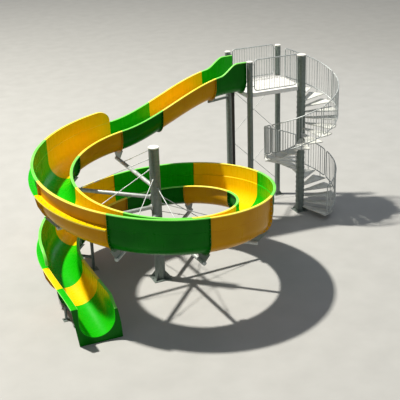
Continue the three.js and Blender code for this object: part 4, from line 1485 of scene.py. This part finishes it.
@dataclass
class Tower:
    """Posts, platform, railings, braces, the entry bracket and the water riser."""

    finishes: Finishes
    course: Course
    footing: Footing
    spine: Spine
    # Posts: their axes, and the stair's thicker one at the front right
    post_radius: float = 0.10955
    post_height: float = 6.400
    post_plate: float = 0.380
    post_gusset: float = 0.140
    left: float = 4.997
    right: float = 7.194
    front: float = 2.951
    back: float = 4.861
    stair_radius: float = 0.16195
    # Platform
    deck_top: float = 5.170
    deck_overhang: float = 0.025
    deck_sheet: float = 0.030
    beam_depth: float = 0.120
    joist_width: float = 0.050
    joist_shift: float = 0.160
    # Railings: the frame, its bars and stubs, and the gaps between the frame and the posts
    rail_top: float = 6.450
    rail_foot: float = 5.230
    rail_corner: float = 0.130
    rail_tube: float = 0.021
    rail_bar: float = 0.008
    rail_stub: float = 0.014
    rail_gap: float = 0.070
    stair_rail_gap: float = 0.035
    bar_spacing: float = 0.110
    # Crossed rods, the strut to the chute's first joint, and the water riser
    brace_levels: tuple[float, ...] = (0.650, 2.800, 4.980)
    brace_radius: float = 0.011
    strut_radius: float = 0.050
    strut_drop: float = 1.030
    strut_fall: float = 0.325
    riser_x: float = 4.600
    riser_under: float = 0.0135

    def post(self, side: str, x: float, y: float) -> None:
        """Makes one tower post with its base plate, gussets and cap.

        Args:
            side: Where it stands, such as back_left.
            x: Its axis' X.
            y: Its axis' Y.
        """
        spot, top = Vector((x, y, 0)), self.post_height - self.footing.cap_height
        parts = self.footing.tube(spot, top, self.post_radius, 40, self.post_plate, self.post_gusset)
        Bench.fit(parts, f"post_{side}", Slot.STEEL, [f"tower_post_{side}"], self.finishes.steel)
        self.footing.cap(f"post_{side}_cap", spot, top, self.post_radius)

    def platform(self) -> None:
        """Makes the deck plates, edge channels and joists."""
        left, right = self.course.entry_x + 0.003, self.right + self.deck_overhang
        front, back = self.front - self.deck_overhang, self.back + self.deck_overhang
        x, y = (left + right) / 2, (front + back) / 2
        under = self.deck_top - self.deck_sheet
        middle = Vector((x, y, self.deck_top - self.deck_sheet / 2))
        deck = Bench.box(middle, (right - left, back - front, self.deck_sheet))
        level = under - self.beam_depth / 2
        beams = []
        for edge, way in ((front, 1), (back, -1)):
            centre = Vector((x, edge + way * self.deck_overhang, level))
            beams += self.channel_beam(centre, right - left, self.beam_depth, way)
        # The joists end just short of the channels, and their tops just under the deck
        size = (self.joist_width, back - front - 0.11, self.beam_depth - 0.002)
        for joist in (left + self.deck_overhang, x + self.joist_shift, right - self.deck_overhang):
            beams.append(Bench.box(Vector((joist, y, level)), size))
        Bench.dress(deck, self.finishes.deck)
        steel = Bench.dress(Bench.join(beams), self.finishes.fascia)
        Bench.fit([deck, steel], "platform_deck", Slot.DECK, ["platform"], smooth=30)

    @staticmethod
    def channel_beam(centre: Vector, length: float, depth: float, way: int) -> list[bpy.types.Object]:
        """Makes a folded channel beam along X: a web with two flanges that turn inwards.

        Args:
            centre: Middle of the beam's box, 50 mm wide.
            length: Length along X.
            depth: Height.
            way: 1 where the flanges point to +Y, -1 to -Y.

        Returns:
            The web and flanges.
        """
        fold = 0.010
        beam = [Bench.box(centre - Vector((0, way * 0.020, 0)), (length, fold, depth), eased=0.002)]
        for side in (-1, 1):
            spot = centre + Vector((0, way * 0.0045, side * (depth - fold) / 2))
            beam.append(Bench.box(spot, (length, 0.039, fold), eased=0.002))
        return beam

    def railing(self, side: str, start: float, end: float, y: float, post: float) -> None:
        """Makes a railing panel: a tube frame with round corners, bars, and stubs to the posts.

        Args:
            side: The platform's side, front or back.
            start: The frame's left X.
            end: The frame's right X.
            y: The panel's Y.
            post: Radius of the post at its right.
        """
        tube, corner = self.rail_tube, self.rail_corner
        x0, x1 = start + tube, end - tube
        z0, z1 = self.rail_foot + tube, self.rail_top - tube
        r = corner - tube
        line = []
        corners = ((x1 - r, z0 + r, -90), (x1 - r, z1 - r, 0), (x0 + r, z1 - r, 90), (x0 + r, z0 + r, 180))
        for x, z, first in corners:
            turns = [math.radians(first + 15 * i) for i in range(7)]
            line += [Vector((x + r * math.cos(turn), y, z + r * math.sin(turn))) for turn in turns]
        count = round((end - start) / self.bar_spacing)
        master = Bench.bar(UP * z0, UP * z1, self.rail_bar, 10)
        places = [Matrix.Translation((start + (end - start) * i / count, y, 0)) for i in range(1, count)]
        parts = [Bench.hoop(line, tube), Bench.copies(master, places)]
        for z in (self.rail_foot + corner * 1.5, self.rail_top - corner * 1.5):
            for near, far in ((self.left + self.post_radius, x0), (x1, self.right - post)):
                parts.append(Bench.bar(Vector((near, y, z)), Vector((far, y, z)), self.rail_stub, 12))
        Bench.fit(parts, f"rail_{side}", Slot.STEEL, [f"railing_{side}"], self.finishes.bright)

    def brace(self, index: int) -> None:
        """Makes one crossed rod with its turnbuckle.

        Args:
            index: Its number from 0 at the bottom. Even ones rise to the right.
        """
        level, k = divmod(index, 2)
        low = self.brace_levels[level] + self.brace_radius * (2 * level + 1)
        high = self.brace_levels[level + 1]
        start, end = (low, high) if k == 0 else (high, low)
        y = self.back + (2 * k - 1) * (self.brace_radius + CLEARANCE / 2)
        first, last = Vector((self.left, y, start)), Vector((self.right, y, end))
        line = (last - first).normalized()
        reach = line * (self.post_radius / line.x + 0.001)
        first, last = first + reach, last - reach
        spot = first + line * 0.75
        parts = [
            Bench.bar(first, last, self.brace_radius * 0.9, 10),
            Bench.bar(spot, spot + line * 0.2, self.brace_radius, 10, 0.002),
        ]
        name, node = f"tie_rod_{index + 1}", f"cross_brace_{index + 1}"
        Bench.fit(parts, name, Slot.STEEL, [node], self.finishes.bright)

    def entry_bracket(self) -> None:
        """Makes the strut from the back left post that carries the chute's first joint."""
        station = self.course.chute(self.course.chute_joints[0])
        radius, top = self.strut_radius, station.place - UP * self.strut_drop
        axis = Vector((self.left, self.back, top.z - self.strut_fall))
        line = (top - axis).normalized()
        root = axis + line * ((self.post_radius + 0.006) / math.hypot(line.x, line.y))
        parts = [
            Bench.bar(root, top + line * radius, radius, 24, 0.006),
            Bench.bar(root, root + line * 0.02, 0.085, 20, 0.003),
            self.spine.cradle(station, self.strut_drop - radius / 2),
        ]
        Bench.fit(parts, "chute_bracket", Slot.STEEL, ["entry_bracket"], self.finishes.steel)

    def riser(self) -> None:
        """Makes the black water riser with its base flange and two pipe couplings."""
        place = self.course.chute(self.riser_x).place
        spot = Vector((place.x, place.y, 0))
        top = place.z - self.course.depth - self.riser_under
        rings = (
            (0.0, top, 0.062, 0.0),
            (0.0, 0.025, 0.105, 0.004),
            (1.55, 1.72, 0.072, 0.006),
            (top - 0.16, top - 0.03, 0.072, 0.006),
        )
        parts = []
        for low, high, radius, eased in rings:
            parts.append(Bench.bar(spot + UP * low, spot + UP * high, radius, 32, eased))
        Bench.fit(parts, "water_riser", Slot.PIPE, ["riser_pipe"], self.finishes.pipe)

    def build(self) -> None:
        """Makes the tower without its stair."""
        self.post("back_left", self.left, self.back)
        self.post("front_left", self.left, self.front)
        self.post("back_right", self.right, self.back)
        self.platform()
        start, post, stair = self.left + self.post_radius + self.rail_gap, self.post_radius, self.stair_radius
        self.railing("front", start, self.right - stair - self.stair_rail_gap, self.front, stair)
        self.railing("back", start, self.right - post - self.rail_gap, self.back, post)
        for index in range(2 * (len(self.brace_levels) - 1)):
            self.brace(index)
        self.entry_bracket()
        self.riser()


# Spiral stair


@dataclass
class SpiralStair:
    """The thick fourth post with its treads, handrail and balusters."""

    finishes: Finishes
    footing: Footing
    tower: Tower
    # Post's base plate
    foot: float = 0.520
    gusset: float = 0.200
    # Treads: the first one's angle, the turn from each to the next, and how wide one spreads
    risers: int = 25
    first_angle: float = -62.0
    turn: float = 21.74
    spread: float = 26.0
    reach: float = 1.400
    thickness: float = 0.040
    rib_level: float = -0.026
    collar_lip: float = 0.012
    # Balustrade: heights above the line through the treads' middles, and the frames' bent corners
    rail_height: float = 1.285
    lower_rail: float = 0.148
    rail_radius: float = 0.021
    tread_bar: float = 0.018
    baluster_radius: float = 0.009
    baluster_clear: float = 2.0
    bend_turn: float = 3.0
    bend_rise: float = 0.075
    bend_steps: int = 6
    rail_steps: int = 24
    lengths: int = 6
    length_gap: float = 4.0

    @property
    def rise(self) -> float:
        """Height of one riser."""
        return self.tower.deck_top / self.risers

    @property
    def radius(self) -> float:
        """Radius of the post."""
        return self.tower.stair_radius

    @property
    def axis(self) -> Vector:
        """Where the post's axis meets the ground."""
        return Vector((self.tower.right, self.tower.front, 0))

    def tread_angle(self, number: float) -> float:
        """Returns the angle of a tread's middle in degrees."""
        return self.first_angle + self.turn * (number - 1)

    def rail_point(self, angle: float, lift: float) -> Vector:
        """Finds a point just outside the treads' edge.

        Args:
            angle: The point's angle.
            lift: Its height above the line through the treads' middles.

        Returns:
            The point.
        """
        line = self.rise * (1 + (angle - self.first_angle) / self.turn)
        return self.axis + polar(self.reach + self.tread_bar + CLEARANCE, angle, line + lift)

    def tread(self) -> bpy.types.Object:
        """Makes one tread at angle 0: a wedge plate with ribs under its sides and a folded outer edge.

        Returns:
            The tread.
        """
        half, reach, level = self.spread / 2, self.reach, self.rib_level
        rows = []
        for radius in (self.radius - 0.01, self.radius + 0.04, 0.5, 0.9, reach - 0.03, reach):
            width = half if radius > 0.3 else half * 1.5
            rows.append([polar(radius, width * t, 0.0) for t in (-1.0, -0.95, -0.5, 0.0, 0.5, 0.95, 1.0)])
        parts = [Bench.sheet(rows, 0.012, UP)]
        for t in (-0.93, 0.93):
            start, end = polar(0.2, half * t, level), polar(reach - 0.02, half * t, level)
            size = ((end - start).length, 0.012, 0.028)
            parts.append(Bench.box((start + end) / 2, size, math.radians(half * t), 0.002))
        shares = (-1.0, -0.6, -0.2, 0.2, 0.6, 1.0)
        edge = [[polar(reach, half * t, z) for t in shares] for z in (-0.004, -self.thickness)]
        parts.append(Bench.sheet(edge, 0.008, Vector((1, 0, 0))))
        return Bench.join(parts)

    def treads(self) -> None:
        """Makes the post with all the treads and the collars that hold them."""
        places = []
        for number in range(1, self.risers):
            turned = Matrix.Rotation(math.radians(self.tread_angle(number)), 4, "Z")
            places.append(Matrix.Translation(self.axis + UP * (self.rise * number)) @ turned)
        steps = Bench.dress(Bench.copies(self.tread(), places), self.finishes.tread)
        collar = Bench.bar(UP * -0.05, UP * self.collar_lip, self.radius + self.collar_lip, 32, 0.003)
        collars = Bench.copies(collar, places)
        top = self.tower.post_height - self.footing.cap_height
        post = self.footing.tube(self.axis, top, self.radius, 48, self.foot, self.gusset)
        steel = Bench.dress(Bench.join([*post, collars]), self.finishes.steel)
        Bench.fit([steps, steel], "stair_treads", Slot.STEEL, ["spiral_stair"])
        self.footing.cap("stair_post_cap", self.axis, top, self.radius)

    def corner(self, angle: float, lift: float, side: int, rise: int) -> list[Vector]:
        """Rounds the corner between an end bar and a rail.

        Args:
            angle: The end bar's angle.
            lift: The rail's height.
            side: 1 at a length's start, -1 at its end.
            rise: 1 where the bar stands on the rail, -1 where it hangs from it.

        Returns:
            Points from the bar to the rail.
        """
        apex = self.rail_point(angle, lift)
        first = apex + UP * (rise * self.bend_rise)
        last = self.rail_point(angle + side * self.bend_turn, lift)
        shares = [i / self.bend_steps for i in range(self.bend_steps + 1)]
        return [first * (1 - t) ** 2 + apex * (2 * t * (1 - t)) + last * t * t for t in shares]

    def frame(self, start: float, end: float) -> bpy.types.Object:
        """Bends one tube into a length's frame: handrail, lower rail and two end bars.

        Args:
            start: The frame's first angle.
            end: The frame's last angle.

        Returns:
            The tube.
        """
        span = end - start - 2 * self.bend_turn
        inner = [start + self.bend_turn + span * i / self.rail_steps for i in range(1, self.rail_steps)]
        line = self.corner(start, self.rail_height, 1, -1)
        line += [self.rail_point(angle, self.rail_height) for angle in inner]
        line += self.corner(end, self.rail_height, -1, -1)[::-1]
        line += self.corner(end, self.lower_rail, -1, 1)
        line += [self.rail_point(angle, self.lower_rail) for angle in reversed(inner)]
        line += self.corner(start, self.lower_rail, 1, 1)[::-1]
        return Bench.hoop(line, self.rail_radius)

    def upright_bar(self, angle: float, lift: float, radius: float) -> bpy.types.Object:
        """Makes one bar from a height above the treads' line straight up into the handrail."""
        return Bench.bar(self.rail_point(angle, lift), self.rail_point(angle, self.rail_height), radius, 10)

    def balustrade(self, index: int) -> None:
        """Makes one length of the balustrade: a frame, a bar down each tread's edge, balusters between.

        Args:
            index: The length's number, from 0 at the bottom.
        """
        treads = (self.risers - 1) // self.lengths
        first = treads * index + 1
        start = self.tread_angle(first - 0.5) + self.length_gap / 2
        end = self.tread_angle(first + treads - 0.5) - self.length_gap / 2
        parts = [self.frame(start, end)]
        for number in range(first, first + treads):
            middle = self.tread_angle(number)
            parts.append(self.upright_bar(middle, -self.thickness, self.tread_bar * 0.9))
            for step in (-2, -1, 1, 2):
                angle = middle + step * self.turn / 5
                if start + self.baluster_clear < angle < end - self.baluster_clear:
                    parts.append(self.upright_bar(angle, self.lower_rail, self.baluster_radius))
        name, node = f"stair_rail_{index + 1}", f"stair_balustrade_{index + 1}"
        Bench.fit(parts, name, Slot.STEEL, [node], self.finishes.bright)

    def build(self) -> None:
        """Makes the stair."""
        self.treads()
        for index in range(self.lengths):
            self.balustrade(index)


# Floor, lights and camera


@dataclass
class Studio:
    """A plain pale floor, soft light from the photograph's sunny side, and the photograph's camera."""

    eye: tuple[float, float, float] = (-9.083, -25.499, 14.226)
    look: tuple[float, float] = (0.3861, 0.9225)
    pitch: float = 22.78
    roll: float = -0.0339
    lens: float = 78.6

    def floor(self) -> None:
        """Lays the floor."""
        Bench.pick()
        bpy.ops.mesh.primitive_plane_add(size=160, location=(2.0, 0.0, 0.0))
        floor = bpy.context.object
        floor.name = "studio_floor"
        ground = Surface("pale_floor", {"Roughness": 0.85})
        ground.colour(ground.patches(900, detail=4.0), "#b0b0ad", "#aaaaa7")
        Bench.dress(floor, ground.material)

    @staticmethod
    def light(
        name: str, place: Sequence[float], aim: Sequence[float], size: float, power: float, colour: str
    ) -> None:
        """Hangs one soft square lamp.

        Args:
            name: The lamp's name.
            place: Where it hangs.
            aim: What it points at.
            size: Its side in metres.
            power: Its power in watts.
            colour: Its colour in hex.
        """
        lamp = bpy.data.lights.new(name, "AREA")
        lamp.size = size
        lamp.energy = power
        lamp.color = linear(colour)[:3]
        holder = bpy.data.objects.new(name, lamp)
        holder.location = place
        holder.rotation_euler = (Vector(aim) - Vector(place)).to_track_quat("-Z", "Y").to_euler()
        bpy.context.collection.objects.link(holder)

    def lights(self) -> None:
        """Hangs the lamps and sets the surrounding light."""
        self.light("key", (-24.7, 21.5, 64.5), (1.0, 1.0, 2.5), 3.0, 90000, "#fffaf0")
        self.light("fill", (6.0, -30.0, 16.0), (1.0, 0.0, 3.0), 16.0, 700, "#f2f6ff")
        self.light("rim", (24.0, 14.0, 18.0), (4.0, 2.0, 3.0), 12.0, 900, "#eef4ff")
        world = bpy.data.worlds.new("studio")
        bpy.context.scene.world = world
        world.use_nodes = True
        world.node_tree.nodes["Background"].inputs["Color"].default_value = linear("#dfe6ee")
        world.node_tree.nodes["Background"].inputs["Strength"].default_value = 0.26
        bpy.context.scene.view_settings.view_transform = "Standard"

    def camera(self) -> None:
        """Sets up the camera where the photograph was taken."""
        tilt = math.radians(self.pitch)
        forward = Vector((self.look[0] * math.cos(tilt), self.look[1] * math.cos(tilt), -math.sin(tilt)))
        level = Vector((self.look[1], -self.look[0], 0.0)).normalized()
        upright = level.cross(forward)
        c, s = math.cos(self.roll), math.sin(self.roll)
        right, top = level * c + upright * s, upright * c - level * s
        data = bpy.data.cameras.new("camera")
        data.lens = self.lens
        data.sensor_width = 36.0
        data.clip_end = 300.0
        holder = bpy.data.objects.new("camera", data)
        turned = Matrix((right, top, -forward)).transposed().to_4x4()
        holder.matrix_world = Matrix.Translation(self.eye) @ turned
        bpy.context.collection.objects.link(holder)
        bpy.context.scene.camera = holder

    def build(self) -> None:
        """Sets up the whole studio."""
        self.camera()
        self.floor()
        self.lights()


def main() -> None:
    """Builds every sub-assembly in order."""
    logging.basicConfig(level=logging.INFO, format="%(message)s")
    Studio().build()
    finishes = Finishes()
    course = Course()
    footing = Footing(finishes)
    spine = Spine(finishes, course, footing)
    Flume(finishes, course).build()
    spine.build()
    tower = Tower(finishes, course, footing, spine)
    tower.build()
    SpiralStair(finishes, footing, tower).build()


if __name__ == "__main__":
    main()
